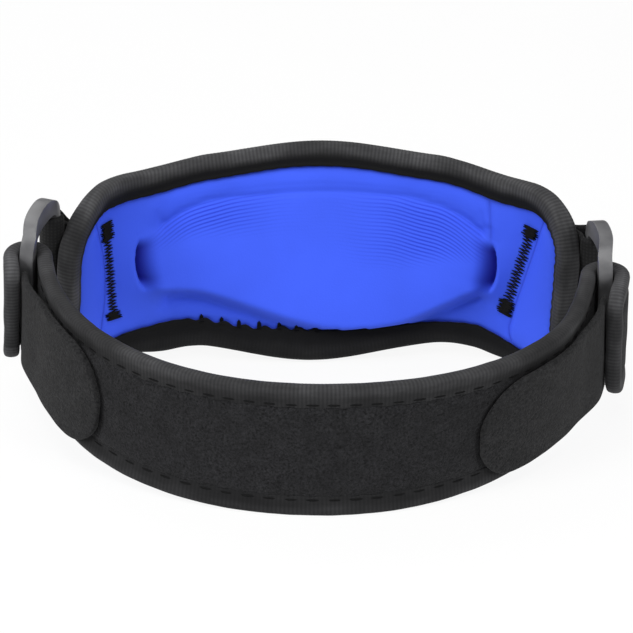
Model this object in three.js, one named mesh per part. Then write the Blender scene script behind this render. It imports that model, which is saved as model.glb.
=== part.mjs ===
// Tennis elbow strap: a padded panel with a stretch lining and a bound edge, joined by a plastic
// ring at each end to a bound strap. Each strap end goes through its ring, folds back on the
// outside and is held down by a hook tab. Millimetres and degrees, +Z up, the wearer's arm goes
// through along Z. The strap stands on its lower edge, pad at the back (+Y), strap at the front.
import * as THREE from "three";

// Padded panel. Its bent wall has a flat middle and tighter ends, and leans back a little.
const PAD = {
  backY: 46.8,
  middleHeight: 29.5,
  middleRadius: 600,
  middleHalfLength: 36,
  lean: 8,
  leanLength: 28,
  tuck: 7.5,
  tuckMiddle: -8,
  tuckLength: 28,
  droop: 3.2,
  droopStart: 30,
  droopLength: 20,
  waistHalfHeight: 24.7,
  topBump: 4.5,
  topBumpLength: 27,
  bottomBump: 6,
  bottomBumpMiddle: -3,
  bottomBumpLength: 27,
  shoulder: 1.1,
  shoulderMiddle: -54,
  shoulderLength: 13,
  flareStart: 42,
  flareLength: 14,
  topCornerRadius: 18,
  bottomCornerRadius: 12,
  outerFace: 1.6,
  panelInnerFace: -0.7,
  liningOuterFace: -0.9,
  liningInnerFace: -1.6,
};

// Foam pressure pad: a lens that stands out under the lining, thickest below its middle line.
const LENS = {
  middle: -1.8,
  halfLength: 48,
  rise: 6.2,
  endRamp: 6,
  topEnd: 6,
  topMiddle: 17.5,
  bottomEnd: -8.5,
  bottomMiddle: -21.3,
  peakSkew: 0.55,
  fullness: 0.75,
};

// Strap: half an ellipse in plan, from ring to ring round the front.
const STRAP = {
  centreY: 16,
  depth: 64.2,
  frontMiddleHeight: 17.3,
  frontHalfWidth: 17.7,
  endHalfWidth: 15.8,
  leanOver: 50,
  straightensFrom: 55,
  straightensOver: 25,
  coreHalfThickness: 1.2,
  cornerRadius: 6,
  foldRadius: 4.4,
};

// Edge binding: a tape folded over an edge, as a channel with a wall, a gap and rounded shoulders.
const STRAP_BINDING = { width: 5.5, endWidth: 5.5, inside: 1.4, outside: 2.2, wall: 0.8, shoulder: 1.1 };
const PAD_BINDING = { width: 7.2, endWidth: 4.6, inside: 1.8, outside: 2.4, wall: 0.8, shoulder: 1.3 };
const EDGE_GAP = 0.2;

// Hook tab: a tape under each strap end that lies along the strap and ends in a round.
const TAB = { low: -14.8, high: 12.6, thickness: 1.8, gap: 0.3, lowRadius: 11, highRadius: 15, liftAngle: 11 };

// Plastic ring: a bowed rectangular loop, with one bar for the strap and one for the webbing.
const RING = {
  barSpacing: 20,
  barWidth: 3.2,
  sideWidth: 5.6,
  thickness: 3.6,
  slotHalfHeight: 16.4,
  outerRadius: 8,
  slotRadius: 1.5,
  bevel: 0.8,
  bow: 1.3,
};

// Webbing: a tape round the ring's second bar, both layers sewn to the outside of the pad.
const WEBBING = {
  halfWidth: 15.2,
  thickness: 1.2,
  layerOffset: 0.8,
  padGap: 0.9,
  tack: 53,
  leaves: 66,
  barGap: 0.4,
  openSooner: 1.5,
};

// The two sides differ: how far each strap end was pulled through, and how high its ring sits.
const SIDES = {
  left: {
    sign: -1, halfSpan: 72.4, rise: 12.2, riseCurve: 1.25, lean: -2, endLean: -2,
    ringAngle: 87.5, endAngle: 82, endOffset: 8.8, tabAngle: 47.7, tabHidden: 3, webbingUp: -0.2,
    padRadius: 40, padLength: 76.5, padLean: -5, padLeanStart: 44, padFlare: -0.8, ringTurnIn: 17,
  },
  right: {
    sign: 1, halfSpan: 68.7, rise: 7.2, riseCurve: 1.2, lean: 7, endLean: 0,
    ringAngle: 85.5, endAngle: 75.5, endOffset: 8.2, tabAngle: 32.7, tabHidden: 4.5, webbingUp: 0,
    padRadius: 34.5, padLength: 73.5, padLean: 3, padLeanStart: 30, padFlare: 1.8, ringTurnIn: 9.5,
  },
};

const FOLD_STEPS = 10;
const RUN_STEP = 4;
const PAD_STEP = 4.5;
const PAD_ROWS = 11;
const CORNER_STEPS = 5;
const TABLE = 0;

const vector = (x, y, z) => new THREE.Vector3(x, y, z);
const radians = THREE.MathUtils.degToRad;
const smooth = (x) => THREE.MathUtils.smoothstep(x, 0, 1);
const mix = THREE.MathUtils.lerp;

// What meets the table is pressed flat against it.
function restedOnTable(point) {
  point.z = Math.max(point.z, TABLE);
  return point;
}

// A closed mesh from its corners and triangles, turned so that its faces point out.
function closedGeometry(corners, triangles) {
  let volume = 0;
  for (const [a, b, c] of triangles) {
    volume += corners[a].dot(corners[b].clone().cross(corners[c]));
  }
  const turned = volume < 0 ? triangles.map(([a, b, c]) => [a, c, b]) : triangles;
  const geometry = new THREE.BufferGeometry().setFromPoints(corners);
  geometry.setIndex(turned.flat());
  geometry.computeVertexNormals();
  return geometry;
}

// Heights of a wall's rows of corners: its two edges only, or closer rows between the bound edges.
const edgeRows = (low, high) => [low, high];

function padRows(low, high) {
  const steps = PAD_ROWS - 2;
  const margin = PAD_BINDING.width;
  const between = Array.from({ length: steps + 1 }, (_, k) => mix(low + margin, high - margin, k / steps));
  return [low, ...between, high];
}

// A wall between two faces. columns hold a place along the piece and its low and high edge there,
// and point(along, up, out) bends the flat wall into place.
function wall(columns, rowsAt, frontFace, backFace, point) {
  const corners = [];
  const triangles = [];
  const rows = rowsAt(0, 1).length - 1;
  const index = (face, column, row) => (face * columns.length + column) * (rows + 1) + row;
  [frontFace, backFace].forEach((faceAt) => {
    columns.forEach(({ along, low, high }) => {
      rowsAt(low, high).forEach((up) => corners.push(point(along, up, faceAt(along, up))));
    });
  });
  const quad = (a, b, c, d) => triangles.push([a, b, c], [a, c, d]);
  const last = columns.length - 1;
  for (let i = 0; i < last; i++) {
    for (let row = 0; row < rows; row++) {
      quad(index(0, i, row), index(0, i + 1, row), index(0, i + 1, row + 1), index(0, i, row + 1));
      quad(index(1, i, row), index(1, i, row + 1), index(1, i + 1, row + 1), index(1, i + 1, row));
    }
    quad(index(1, i, 0), index(1, i + 1, 0), index(0, i + 1, 0), index(0, i, 0));
    quad(index(0, i, rows), index(0, i + 1, rows), index(1, i + 1, rows), index(1, i, rows));
  }
  for (let row = 0; row < rows; row++) {
    quad(index(1, 0, row), index(0, 0, row), index(0, 0, row + 1), index(1, 0, row + 1));
    quad(index(0, last, row), index(1, last, row), index(1, last, row + 1), index(0, last, row + 1));
  }
  return closedGeometry(corners, triangles);
}

// A binding: the channel section carried once round the flat outline of the columns. Its cover
// narrows from width along the long edges to endWidth at the ends.
function binding(columns, { width, endWidth, inside, outside, wall: thickness, shoulder }, point) {
  const rim = [
    ...columns.map(({ along, low }) => ({ along, up: low })),
    ...columns.toReversed().map(({ along, high }) => ({ along, up: high })),
  ];
  const section = [
    { cover: 1, depth: 0, out: outside },
    { cover: 0, depth: shoulder, out: outside },
    { cover: 0, depth: 0, out: outside - shoulder },
    { cover: 0, depth: 0, out: shoulder - outside },
    { cover: 0, depth: shoulder, out: -outside },
    { cover: 1, depth: 0, out: -outside },
    { cover: 1, depth: 0, out: -inside },
    { cover: 0, depth: thickness, out: -inside },
    { cover: 0, depth: thickness, out: inside },
    { cover: 1, depth: 0, out: inside },
  ];
  const corners = [];
  const triangles = [];
  rim.forEach((here, i) => {
    const before = rim.at(i - 1);
    const after = rim[(i + 1) % rim.length];
    const inward = new THREE.Vector2(before.up - after.up, after.along - before.along).normalize();
    const local = mix(width, endWidth, Math.abs(inward.x));
    section.forEach(({ cover, depth, out }) => {
      const inset = cover * local + depth;
      corners.push(restedOnTable(point(here.along + inward.x * inset, here.up + inward.y * inset, out)));
    });
  });
  const size = section.length;
  rim.forEach((_, i) => {
    const next = (i + 1) % rim.length;
    section.forEach((__, k) => {
      const turn = (k + 1) % size;
      const [a, b, c, d] = [i * size + k, next * size + k, next * size + turn, i * size + turn];
      triangles.push([a, b, c], [a, c, d]);
    });
  });
  return closedGeometry(corners, triangles);
}

// How much a rounded corner takes off the height at a distance from the end.
function cornerCut(fromEnd, radius) {
  const run = Math.max(0, radius - fromEnd);
  return radius - Math.sqrt(Math.max(0, radius * radius - run * run));
}

// Places from one end of a piece to the other: steps along it, closer together at round corners.
function places(start, end, step, startRadius, endRadius) {
  const found = [];
  for (let k = 0; k < CORNER_STEPS && startRadius > 0; k++) {
    found.push(start + startRadius * (1 - Math.cos((k / CORNER_STEPS) * (Math.PI / 2))));
  }
  const from = start + startRadius;
  const to = end - endRadius;
  const count = Math.max(1, Math.round((to - from) / step));
  for (let k = 0; k <= count; k++) {
    found.push(mix(from, to, k / count));
  }
  for (let k = CORNER_STEPS - 1; k >= 0 && endRadius > 0; k--) {
    found.push(end - endRadius * (1 - Math.cos((k / CORNER_STEPS) * (Math.PI / 2))));
  }
  return found;
}

// A smooth hump that is one at its place and dies away over its reach.
function bumpAt(value, place, reach) {
  return Math.exp(-(((value - place) / reach) ** 2));
}

// The pad's wall: plan arc by arc length, leaning outwards as it rises, its lower middle tucked in.
function padFrame(along) {
  const side = along < 0 ? SIDES.left : SIDES.right;
  const run = Math.abs(along);
  const middleTurn = Math.min(run, PAD.middleHalfLength) / PAD.middleRadius;
  const turn = middleTurn + Math.max(0, run - PAD.middleHalfLength) / side.padRadius;
  const kneeX = PAD.middleRadius * Math.sin(middleTurn);
  const kneeDrop = PAD.middleRadius * (1 - Math.cos(middleTurn));
  const x = kneeX + side.padRadius * (Math.sin(turn) - Math.sin(middleTurn));
  const drop = kneeDrop + side.padRadius * (Math.cos(middleTurn) - Math.cos(turn));
  const droop = PAD.droop * smooth((run - PAD.droopStart) / PAD.droopLength);
  const level = vector(side.sign * Math.sin(turn), Math.cos(turn), 0);
  const leaning = mix(PAD.lean, side.padLean, smooth((run - side.padLeanStart) / PAD.leanLength));
  const lean = radians(leaning + PAD.tuck * bumpAt(along, PAD.tuckMiddle, PAD.tuckLength));
  return {
    centre: vector(side.sign * x, PAD.backY - drop, PAD.middleHeight - droop),
    outward: level.clone().multiplyScalar(Math.cos(lean)).add(vector(0, 0, -Math.sin(lean))),
    across: level.clone().multiplyScalar(Math.sin(lean)).add(vector(0, 0, Math.cos(lean))),
    towardsEnd: vector(side.sign * Math.cos(turn), -Math.sin(turn), 0),
  };
}

function padPoint(along, up, out) {
  const { centre, across, outward } = padFrame(along);
  return centre.addScaledVector(across, up).addScaledVector(outward, out);
}

// The pad's outline, or the outline of what lies a margin inside it.
function padColumns(margin = 0) {
  const topRadius = PAD.topCornerRadius - margin;
  const bottomRadius = PAD.bottomCornerRadius - margin;
  const waist = PAD.waistHalfHeight - margin;
  const [leftEnd, rightEnd] = [SIDES.left.padLength - margin, SIDES.right.padLength - margin];
  return places(-leftEnd, rightEnd, PAD_STEP, topRadius, topRadius).map((along) => {
    const run = Math.abs(along);
    const side = along < 0 ? SIDES.left : SIDES.right;
    const fromEnd = side.padLength - margin - run;
    const bottomBump = PAD.bottomBump * bumpAt(along, PAD.bottomBumpMiddle, PAD.bottomBumpLength);
    const flare = side.padFlare * smooth((run - PAD.flareStart) / PAD.flareLength);
    const topBump = PAD.topBump * bumpAt(run, 0, PAD.topBumpLength);
    const shoulder = PAD.shoulder * bumpAt(along, PAD.shoulderMiddle, PAD.shoulderLength);
    return {
      along,
      low: cornerCut(fromEnd, bottomRadius) - waist - bottomBump - flare,
      high: waist + topBump + shoulder - cornerCut(fromEnd, topRadius),
    };
  });
}

// How far the foam lens lifts the lining towards the arm.
function lensRise(along, up) {
  const fromMiddle = Math.abs(along - LENS.middle);
  const share = fromMiddle / LENS.halfLength;
  if (share >= 1) return 0;
  const belly = Math.cos((share * Math.PI) / 2);
  const top = mix(LENS.topEnd, LENS.topMiddle, belly);
  const bottom = mix(LENS.bottomEnd, LENS.bottomMiddle, belly);
  const height = (up - bottom) / (top - bottom);
  if (height <= 0 || height >= 1) return 0;
  const ramp = smooth((LENS.halfLength - fromMiddle) / LENS.endRamp);
  return LENS.rise * ramp * Math.sin(Math.PI * height ** LENS.peakSkew) ** LENS.fullness;
}

// The strap's inner run: a point of its middle line, and the directions along, out of and across it.
function strapCentre(angle) {
  const side = angle < 0 ? SIDES.left : SIDES.right;
  const turn = radians(angle);
  return vector(
    side.halfSpan * Math.sin(turn),
    STRAP.centreY - STRAP.depth * Math.cos(turn),
    STRAP.frontMiddleHeight + side.rise * (1 - Math.cos(turn)) ** side.riseCurve,
  );
}

function strapFrame(angle) {
  const nudge = 0.05;
  const side = angle < 0 ? SIDES.left : SIDES.right;
  const along = strapCentre(angle + nudge).sub(strapCentre(angle - nudge)).normalize();
  const level = vector(along.y, -along.x, 0).normalize();
  const run = Math.abs(angle);
  const leaning = side.lean * smooth(run / STRAP.leanOver);
  const lean = radians(mix(leaning, side.endLean, smooth((run - STRAP.straightensFrom) / STRAP.straightensOver)));
  const outward = level.applyAxisAngle(along, lean);
  return { centre: strapCentre(angle), along, outward, across: outward.clone().cross(along).normalize() };
}

function strapHalfWidth(angle) {
  return mix(STRAP.frontHalfWidth, STRAP.endHalfWidth, Math.min(1, 1 - Math.cos(radians(angle))));
}

// The ring's bar that the strap turns round, and the direction from it to the ring's other bar.
function strapBar(side) {
  const { centre, along, outward, across } = strapFrame(side.sign * side.ringAngle);
  const rearward = along.clone().multiplyScalar(side.sign);
  const turn = radians(side.ringTurnIn);
  return {
    centre: centre.clone().addScaledVector(outward, STRAP.foldRadius),
    outward,
    rearward,
    across,
    toWebbing: rearward.clone().multiplyScalar(Math.cos(turn)).addScaledVector(outward, -Math.sin(turn)),
  };
}

// How far the folded-back end lies outside the inner run: by the ring, then closer to the strap.
function foldedOffset(side, angle) {
  const share = (side.ringAngle - Math.abs(angle)) / (side.ringAngle - side.endAngle);
  return mix(2 * STRAP.foldRadius, side.endOffset, smooth(share));
}

// Stations of one end of the strap, from the inner run round the bar to the folded-back end.
function foldStations(side) {
  const bar = strapBar(side);
  const halfWidth = strapHalfWidth(side.ringAngle);
  const stations = [];
  for (let k = 1; k <= FOLD_STEPS; k++) {
    const turn = (Math.PI * k) / FOLD_STEPS;
    stations.push({
      centre: bar.centre
        .clone()
        .addScaledVector(bar.outward, -STRAP.foldRadius * Math.cos(turn))
        .addScaledVector(bar.rearward, STRAP.foldRadius * Math.sin(turn)),
      across: bar.across,
      halfWidth,
    });
  }
  const span = side.ringAngle - side.endAngle;
  const count = Math.ceil(span / RUN_STEP) + 1;
  for (let k = 1; k <= count; k++) {
    const angle = side.sign * (side.ringAngle - (span * k) / count);
    const { centre, outward, across } = strapFrame(angle);
    stations.push({
      centre: centre.clone().addScaledVector(outward, foldedOffset(side, angle)),
      across,
      halfWidth,
    });
  }
  return stations;
}

function strapStations() {
  const inner = [];
  const [from, to] = [-SIDES.left.ringAngle, SIDES.right.ringAngle];
  const count = Math.round((to - from) / RUN_STEP);
  for (let k = 0; k <= count; k++) {
    const angle = mix(from, to, k / count);
    const { centre, across } = strapFrame(angle);
    inner.push({ centre, across, halfWidth: strapHalfWidth(angle) });
  }
  return [...foldStations(SIDES.left).reverse(), ...inner, ...foldStations(SIDES.right)];
}

// A band along stations: lengths along it, and a point at a length, a height and a distance out.
function band(stations) {
  const lengths = [0];
  stations.slice(1).forEach(({ centre }, i) => {
    lengths.push(lengths[i] + centre.distanceTo(stations[i].centre));
  });
  const faces = stations.map(({ centre, across }, i) => {
    const before = i > 0 ? stations[i - 1].centre : centre;
    const after = i < stations.length - 1 ? stations[i + 1].centre : centre;
    return after.clone().sub(before).cross(across).normalize();
  });
  const at = (length) => {
    const i = THREE.MathUtils.clamp(lengths.findLastIndex((x) => x <= length), 0, stations.length - 2);
    return { i, share: (length - lengths[i]) / (lengths[i + 1] - lengths[i]) };
  };
  return {
    lengths,
    halfWidth(length) {
      const { i, share } = at(length);
      return mix(stations[i].halfWidth, stations[i + 1].halfWidth, share);
    },
    point(length, up, out) {
      const { i, share } = at(length);
      const between = (a, b) => a.clone().lerp(b, share);
      return between(stations[i].centre, stations[i + 1].centre)
        .addScaledVector(between(stations[i].across, stations[i + 1].across), up)
        .addScaledVector(between(faces[i], faces[i + 1]), out);
    },
  };
}

// The strap's outline laid flat, or the outline of what lies a margin inside it.
function strapColumns(strap, margin = 0) {
  const end = strap.lengths.at(-1);
  const radius = STRAP.cornerRadius - margin;
  const corners = places(margin, end - margin, end, radius, radius);
  const clear = STRAP.cornerRadius + 0.5;
  const inner = strap.lengths.filter((length) => length > clear && length < end - clear);
  return [...corners, ...inner].sort((a, b) => a - b).map((along) => {
    const cut = cornerCut(Math.min(along, end - along) - margin, radius);
    const half = strap.halfWidth(along) - margin - cut;
    return { along, low: -half, high: half };
  });
}

// A hook tab: along the strap from its round end, then up under the strap's folded-back end.
function hookTab(side) {
  const onStrap = STRAP_BINDING.outside + TAB.gap + TAB.thickness / 2;
  const tabPoint = (degrees, up, out) => {
    const { centre, outward, across } = strapFrame(side.sign * degrees);
    const lift = smooth((degrees - side.endAngle + TAB.liftAngle) / TAB.liftAngle);
    const offset = mix(onStrap, side.endOffset - onStrap, lift) + out;
    return centre.addScaledVector(outward, offset).addScaledVector(across, up);
  };
  const next = strapCentre(side.sign * (side.tabAngle + 1));
  const perDegree = strapCentre(side.sign * side.tabAngle).distanceTo(next);
  const hidden = side.endAngle + side.tabHidden;
  const columns = places(side.tabAngle, hidden, RUN_STEP, TAB.highRadius / perDegree, 0).map((along) => {
    const fromEnd = (along - side.tabAngle) * perDegree;
    return {
      along,
      low: TAB.low + cornerCut(fromEnd, TAB.lowRadius),
      high: TAB.high - cornerCut(fromEnd, TAB.highRadius),
    };
  });
  const half = TAB.thickness / 2;
  return wall(columns, edgeRows, () => half, () => -half, tabPoint);
}

// A rectangle with round corners in the ring's plane, with points along its short sides to bow it.
function ringOutline(path, low, high, halfHeight, radius) {
  const sidePoints = 4;
  const along = (from, to, up) => {
    for (let k = 1; k < sidePoints; k++) path.lineTo(mix(from, to, k / sidePoints), up);
  };
  path.moveTo(low + radius, -halfHeight);
  along(low + radius, high - radius, -halfHeight);
  path.absarc(high - radius, radius - halfHeight, radius, -Math.PI / 2, 0);
  path.absarc(high - radius, halfHeight - radius, radius, 0, Math.PI / 2);
  along(high - radius, low + radius, halfHeight);
  path.absarc(low + radius, halfHeight - radius, radius, Math.PI / 2, Math.PI);
  path.absarc(low + radius, radius - halfHeight, radius, Math.PI, Math.PI * 1.5);
  return path;
}

function ring(side) {
  const bar = RING.barWidth / 2;
  const outer = RING.slotHalfHeight + RING.sideWidth;
  const spacing = RING.barSpacing;
  const shape = ringOutline(new THREE.Shape(), -bar, spacing + bar, outer, RING.outerRadius);
  shape.holes.push(ringOutline(new THREE.Path(), bar, spacing - bar, RING.slotHalfHeight, RING.slotRadius));
  const geometry = new THREE.ExtrudeGeometry(shape, {
    depth: RING.thickness - 2 * RING.bevel,
    bevelSize: RING.bevel,
    bevelOffset: -RING.bevel,
    bevelThickness: RING.bevel,
    bevelSegments: 1,
    curveSegments: 4,
  });
  geometry.translate(0, 0, RING.bevel - RING.thickness / 2);
  const position = geometry.getAttribute("position");
  for (let i = 0; i < position.count; i++) {
    const share = THREE.MathUtils.clamp((position.getX(i) - bar) / (spacing - 2 * bar), 0, 1);
    position.setZ(i, position.getZ(i) + side.sign * RING.bow * 4 * share * (1 - share));
  }
  return geometry;
}

function placeRing(mesh, side) {
  const { centre, toWebbing, across } = strapBar(side);
  const normal = toWebbing.clone().cross(across).normalize();
  mesh.setRotationFromMatrix(new THREE.Matrix4().makeBasis(toWebbing, across, normal));
  mesh.position.copy(centre);
}

// Webbing: over the outside of the pad, round the ring's second bar and back under itself.
function webbing(side) {
  const bar = strapBar(side);
  const barCentre = bar.centre
    .clone()
    .addScaledVector(bar.toWebbing, RING.barSpacing)
    .addScaledVector(bar.across, side.webbingUp);
  const half = WEBBING.thickness / 2;
  const face = PAD_BINDING.outside + WEBBING.padGap + half + WEBBING.layerOffset;
  const wrap = RING.thickness / 2 + WEBBING.barGap + half;
  const leaving = padFrame(side.sign * WEBBING.leaves);
  const start = padPoint(side.sign * WEBBING.leaves, 0, face);
  const reach = start.distanceTo(barCentre) / 3;
  const link = new THREE.CubicBezierCurve3(
    start,
    start.clone().addScaledVector(leaving.towardsEnd, reach),
    barCentre.clone().addScaledVector(bar.toWebbing, reach),
    barCentre,
  );
  const spine = [];
  const padSteps = 6;
  for (let k = 0; k < padSteps; k++) {
    const along = side.sign * mix(WEBBING.tack, WEBBING.leaves, k / padSteps);
    spine.push({ centre: padPoint(along, 0, face), across: padFrame(along).across, spread: 0 });
  }
  const linkSteps = 6;
  for (let k = 0; k <= linkSteps; k++) {
    const share = k / linkSteps;
    const across = leaving.across.clone().lerp(bar.across, smooth(share)).normalize();
    spine.push({ centre: link.getPoint(share), across, spread: smooth(share * WEBBING.openSooner) });
  }
  const layer = (sign) =>
    spine.map(({ centre, across, spread }, i) => {
      const before = spine[Math.max(0, i - 1)].centre;
      const after = spine[Math.min(spine.length - 1, i + 1)].centre;
      const sideways = after.clone().sub(before).cross(across).normalize();
      const offset = sign * mix(WEBBING.layerOffset, wrap, spread);
      return { centre: centre.clone().addScaledVector(sideways, offset), across, halfWidth: WEBBING.halfWidth };
    });
  const sideways = bar.toWebbing.clone().negate().cross(bar.across).normalize();
  const turnSteps = 6;
  const round = [];
  for (let k = 1; k < turnSteps; k++) {
    const turn = (Math.PI * k) / turnSteps;
    round.push({
      centre: barCentre
        .clone()
        .addScaledVector(sideways, wrap * Math.cos(turn))
        .addScaledVector(bar.toWebbing, -wrap * Math.sin(turn)),
      across: bar.across,
      halfWidth: WEBBING.halfWidth,
    });
  }
  const tape = band([...layer(1), ...round, ...layer(-1).reverse()]);
  const columns = tape.lengths.map((along) => ({ along, low: -WEBBING.halfWidth, high: WEBBING.halfWidth }));
  return wall(columns, edgeRows, () => half, () => -half, tape.point);
}

// Finishes: colour, roughness and metalness of each kind of surface.
const finish = (color, roughness) => new THREE.MeshStandardMaterial({ color, roughness, metalness: 0 });
const FINISH = {
  neoprene: finish(0x1d1d1f, 0.9),
  lining: finish(0x2f4fe0, 0.75),
  binding: finish(0x232324, 0.85),
  loopPile: finish(0x262628, 0.95),
  hookTab: finish(0x2a2a2c, 0.95),
  plastic: finish(0x4a4a4c, 0.4),
  webbing: finish(0x121213, 0.85),
};

const elbowStrap = new THREE.Group();

function add(name, geometry, material) {
  const mesh = new THREE.Mesh(geometry, material.clone());
  mesh.name = name;
  elbowStrap.add(mesh);
  return mesh;
}

const padEdge = padColumns();
const padInside = padColumns(PAD_BINDING.wall + EDGE_GAP);
const panelInner = (along, up) => PAD.panelInnerFace - lensRise(along, up);
const liningOuter = (along, up) => PAD.liningOuterFace - lensRise(along, up);
const liningInner = (along, up) => PAD.liningInnerFace - lensRise(along, up);
add("pad_panel", wall(padInside, padRows, () => PAD.outerFace, panelInner, padPoint), FINISH.neoprene);
add("pad_lining", wall(padInside, padRows, liningOuter, liningInner, padPoint), FINISH.lining);
add("pad_binding", binding(padEdge, PAD_BINDING, padPoint), FINISH.binding);

const strap = band(strapStations());
const strapEdge = strapColumns(strap);
const strapInside = strapColumns(strap, STRAP_BINDING.wall + EDGE_GAP);
const core = STRAP.coreHalfThickness;
add("strap_band", wall(strapInside, edgeRows, () => core, () => -core, strap.point), FINISH.loopPile);
add("strap_binding", binding(strapEdge, STRAP_BINDING, strap.point), FINISH.binding);

for (const [name, side] of Object.entries(SIDES)) {
  add(`hook_tab_${name}`, hookTab(side), FINISH.hookTab);
  placeRing(add(`ring_${name}`, ring(side), FINISH.plastic), side);
  add(`webbing_${name}`, webbing(side), FINISH.webbing);
}

// The origin is the middle of the footprint, on the table.
const box = new THREE.Box3().setFromObject(elbowStrap);
const middle = box.getCenter(vector(0, 0, 0));
elbowStrap.children.forEach((mesh) => mesh.position.sub(vector(middle.x, middle.y, TABLE)));

export default elbowStrap;
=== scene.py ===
"""Tennis elbow strap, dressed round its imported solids.

A padded panel with a blue knit lining stands at the back, a bound strap closes the loop at the
front, and a plastic ring joins them on each side. Sizes are millimetres and degrees in the frame
that the strap was drawn in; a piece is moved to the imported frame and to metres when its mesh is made.
"""

from __future__ import annotations

import logging
import math
from dataclasses import dataclass
from enum import Enum
from typing import Any, Callable

import bmesh
import bpy
import numpy as np
from mathutils import Matrix, Vector, kdtree

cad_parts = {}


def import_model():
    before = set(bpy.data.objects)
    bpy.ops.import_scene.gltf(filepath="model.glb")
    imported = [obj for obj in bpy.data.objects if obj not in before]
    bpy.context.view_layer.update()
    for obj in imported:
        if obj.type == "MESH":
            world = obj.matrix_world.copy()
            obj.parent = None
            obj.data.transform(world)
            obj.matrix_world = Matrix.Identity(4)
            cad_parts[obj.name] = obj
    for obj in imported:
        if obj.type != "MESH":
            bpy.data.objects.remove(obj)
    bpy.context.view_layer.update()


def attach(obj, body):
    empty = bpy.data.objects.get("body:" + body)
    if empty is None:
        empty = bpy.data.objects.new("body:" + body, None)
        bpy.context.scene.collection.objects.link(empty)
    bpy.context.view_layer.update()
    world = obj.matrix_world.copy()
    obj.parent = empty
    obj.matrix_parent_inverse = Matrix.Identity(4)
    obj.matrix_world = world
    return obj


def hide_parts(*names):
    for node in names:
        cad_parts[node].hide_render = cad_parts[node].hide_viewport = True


LOG = logging.getLogger("elbow_strap")
MM = 0.001
IMAGE_PIXELS = 633
FOOTPRINT_SHIFT = np.array([2.18819, -3.03131, 0.0])
CUT_MAP = "cut"
TURN = 2.0 * math.pi
WAVE_TURN = 20.0
THREAD_UP = np.array([0.31, 0.22, 0.93])
THREAD_END = 0.55

Array = np.ndarray
Pair = tuple[float, float]
Table = tuple[Pair, ...]
Piece = bpy.types.Object
Tree = bpy.types.NodeTree
Socket = bpy.types.NodeSocket
PointAt = Callable[[Array, Array, Array], Array]
RimValue = Callable[[Array, Array], Array]


# Small helpers


def smooth(share: Array | float) -> Array:
    """Eased step from 0 to 1 of a share that may lie outside them."""
    kept = np.clip(share, 0.0, 1.0)
    return kept * kept * (3.0 - 2.0 * kept)


def ramp(value: Array, start: Array | float, over: float) -> Array:
    """Eased step from 0 to 1 past a place, over a distance; a negative distance makes it fall."""
    return smooth((value - start) / over)


def mix(start: Array | float, end: Array | float, share: Array | float) -> Array:
    """Value between start and end at a share of the way."""
    return start + (end - start) * share


def bump_at(value: Array, place: Array | float, reach: Array | float) -> Array:
    """Bell of height 1 round a place, with the given reach."""
    return np.exp(-(((value - place) / reach) ** 2))


def corner_cut(from_end: Array, radius: float) -> Array:
    """Height that a rounded corner takes off at a distance from the end.

    Args:
        from_end: distances from the end of the piece.
        radius: radius of the corner.

    Returns:
        The height cut off at each distance.
    """
    run = np.clip(radius - from_end, 0.0, radius)
    return radius - np.sqrt(radius * radius - run * run)


def ripple(length: Array, pitch: float, phase: float) -> Array:
    """Slow uneven wave between about -1 and 1 along a length, the same in every run.

    Args:
        length: places along the piece.
        pitch: usual distance between two crests.
        phase: start of the wave, so that two pieces differ.

    Returns:
        The wave's height at each place.
    """
    turn = TURN * length / pitch
    slow, quick = 0.53 * turn + 2.1 * phase, 1.71 * turn + 0.7 * phase
    return (np.sin(turn + phase) + 0.6 * np.sin(slow) + 0.5 * np.sin(quick)) / 2.1


def drawn(table: Table, at: Array, ease: float) -> Array:
    """Value of a curve drawn through a few places, with its corners eased.

    Args:
        table: places and the values there.
        at: where the curve is read.
        ease: distance over which a corner is rounded.

    Returns:
        The curve's value at each place.
    """
    places, values = np.array(table).T
    half = 24
    step = 2.0 * ease / half
    fine = np.arange(places[0] - 3.0 * ease, places[-1] + 3.0 * ease, step)
    bell = bump_at(np.arange(-half, half + 1) * step, 0.0, ease)
    rough = np.pad(np.interp(fine, places, values), half, mode="edge")
    return np.interp(at, fine, np.convolve(rough, bell / bell.sum(), mode="valid"))


def unit(vectors: Array) -> Array:
    """Vectors scaled to length 1."""
    return vectors / np.linalg.norm(vectors, axis=-1, keepdims=True)


def linear(colour: str) -> tuple[float, float, float, float]:
    """Linear colour of an sRGB hex value.

    Args:
        colour: six hex digits after a hash sign.

    Returns:
        Red, green, blue and alpha for a shader socket.
    """
    shares = [int(colour[k : k + 2], 16) / 255.0 for k in (1, 3, 5)]
    red, green, blue = [x / 12.92 if x <= 0.04045 else ((x + 0.055) / 1.055) ** 2.4 for x in shares]
    return red, green, blue, 1.0


def feed(tree: Tree, node: bpy.types.Node, sockets: dict[Any, Any]) -> None:
    """Sets the inputs of a node.

    Args:
        tree: node tree of the material.
        node: node whose inputs are set.
        sockets: value of each input, or the output that feeds it.
    """
    for name, value in sockets.items():
        if isinstance(value, Socket):
            tree.links.new(value, node.inputs[name])
        else:
            node.inputs[name].default_value = value


def add_node(tree: Tree, kind: str, sockets: dict[Any, Any], **settings: Any) -> bpy.types.Node:
    """Adds one node with its settings and links.

    Args:
        tree: node tree of the material.
        kind: type name of the node.
        sockets: value of each input, or the output that feeds it.
        settings: properties of the node.

    Returns:
        The new node.
    """
    node = tree.nodes.new(kind)
    for name, value in settings.items():
        setattr(node, name, value)
    feed(tree, node, sockets)
    return node


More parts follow.
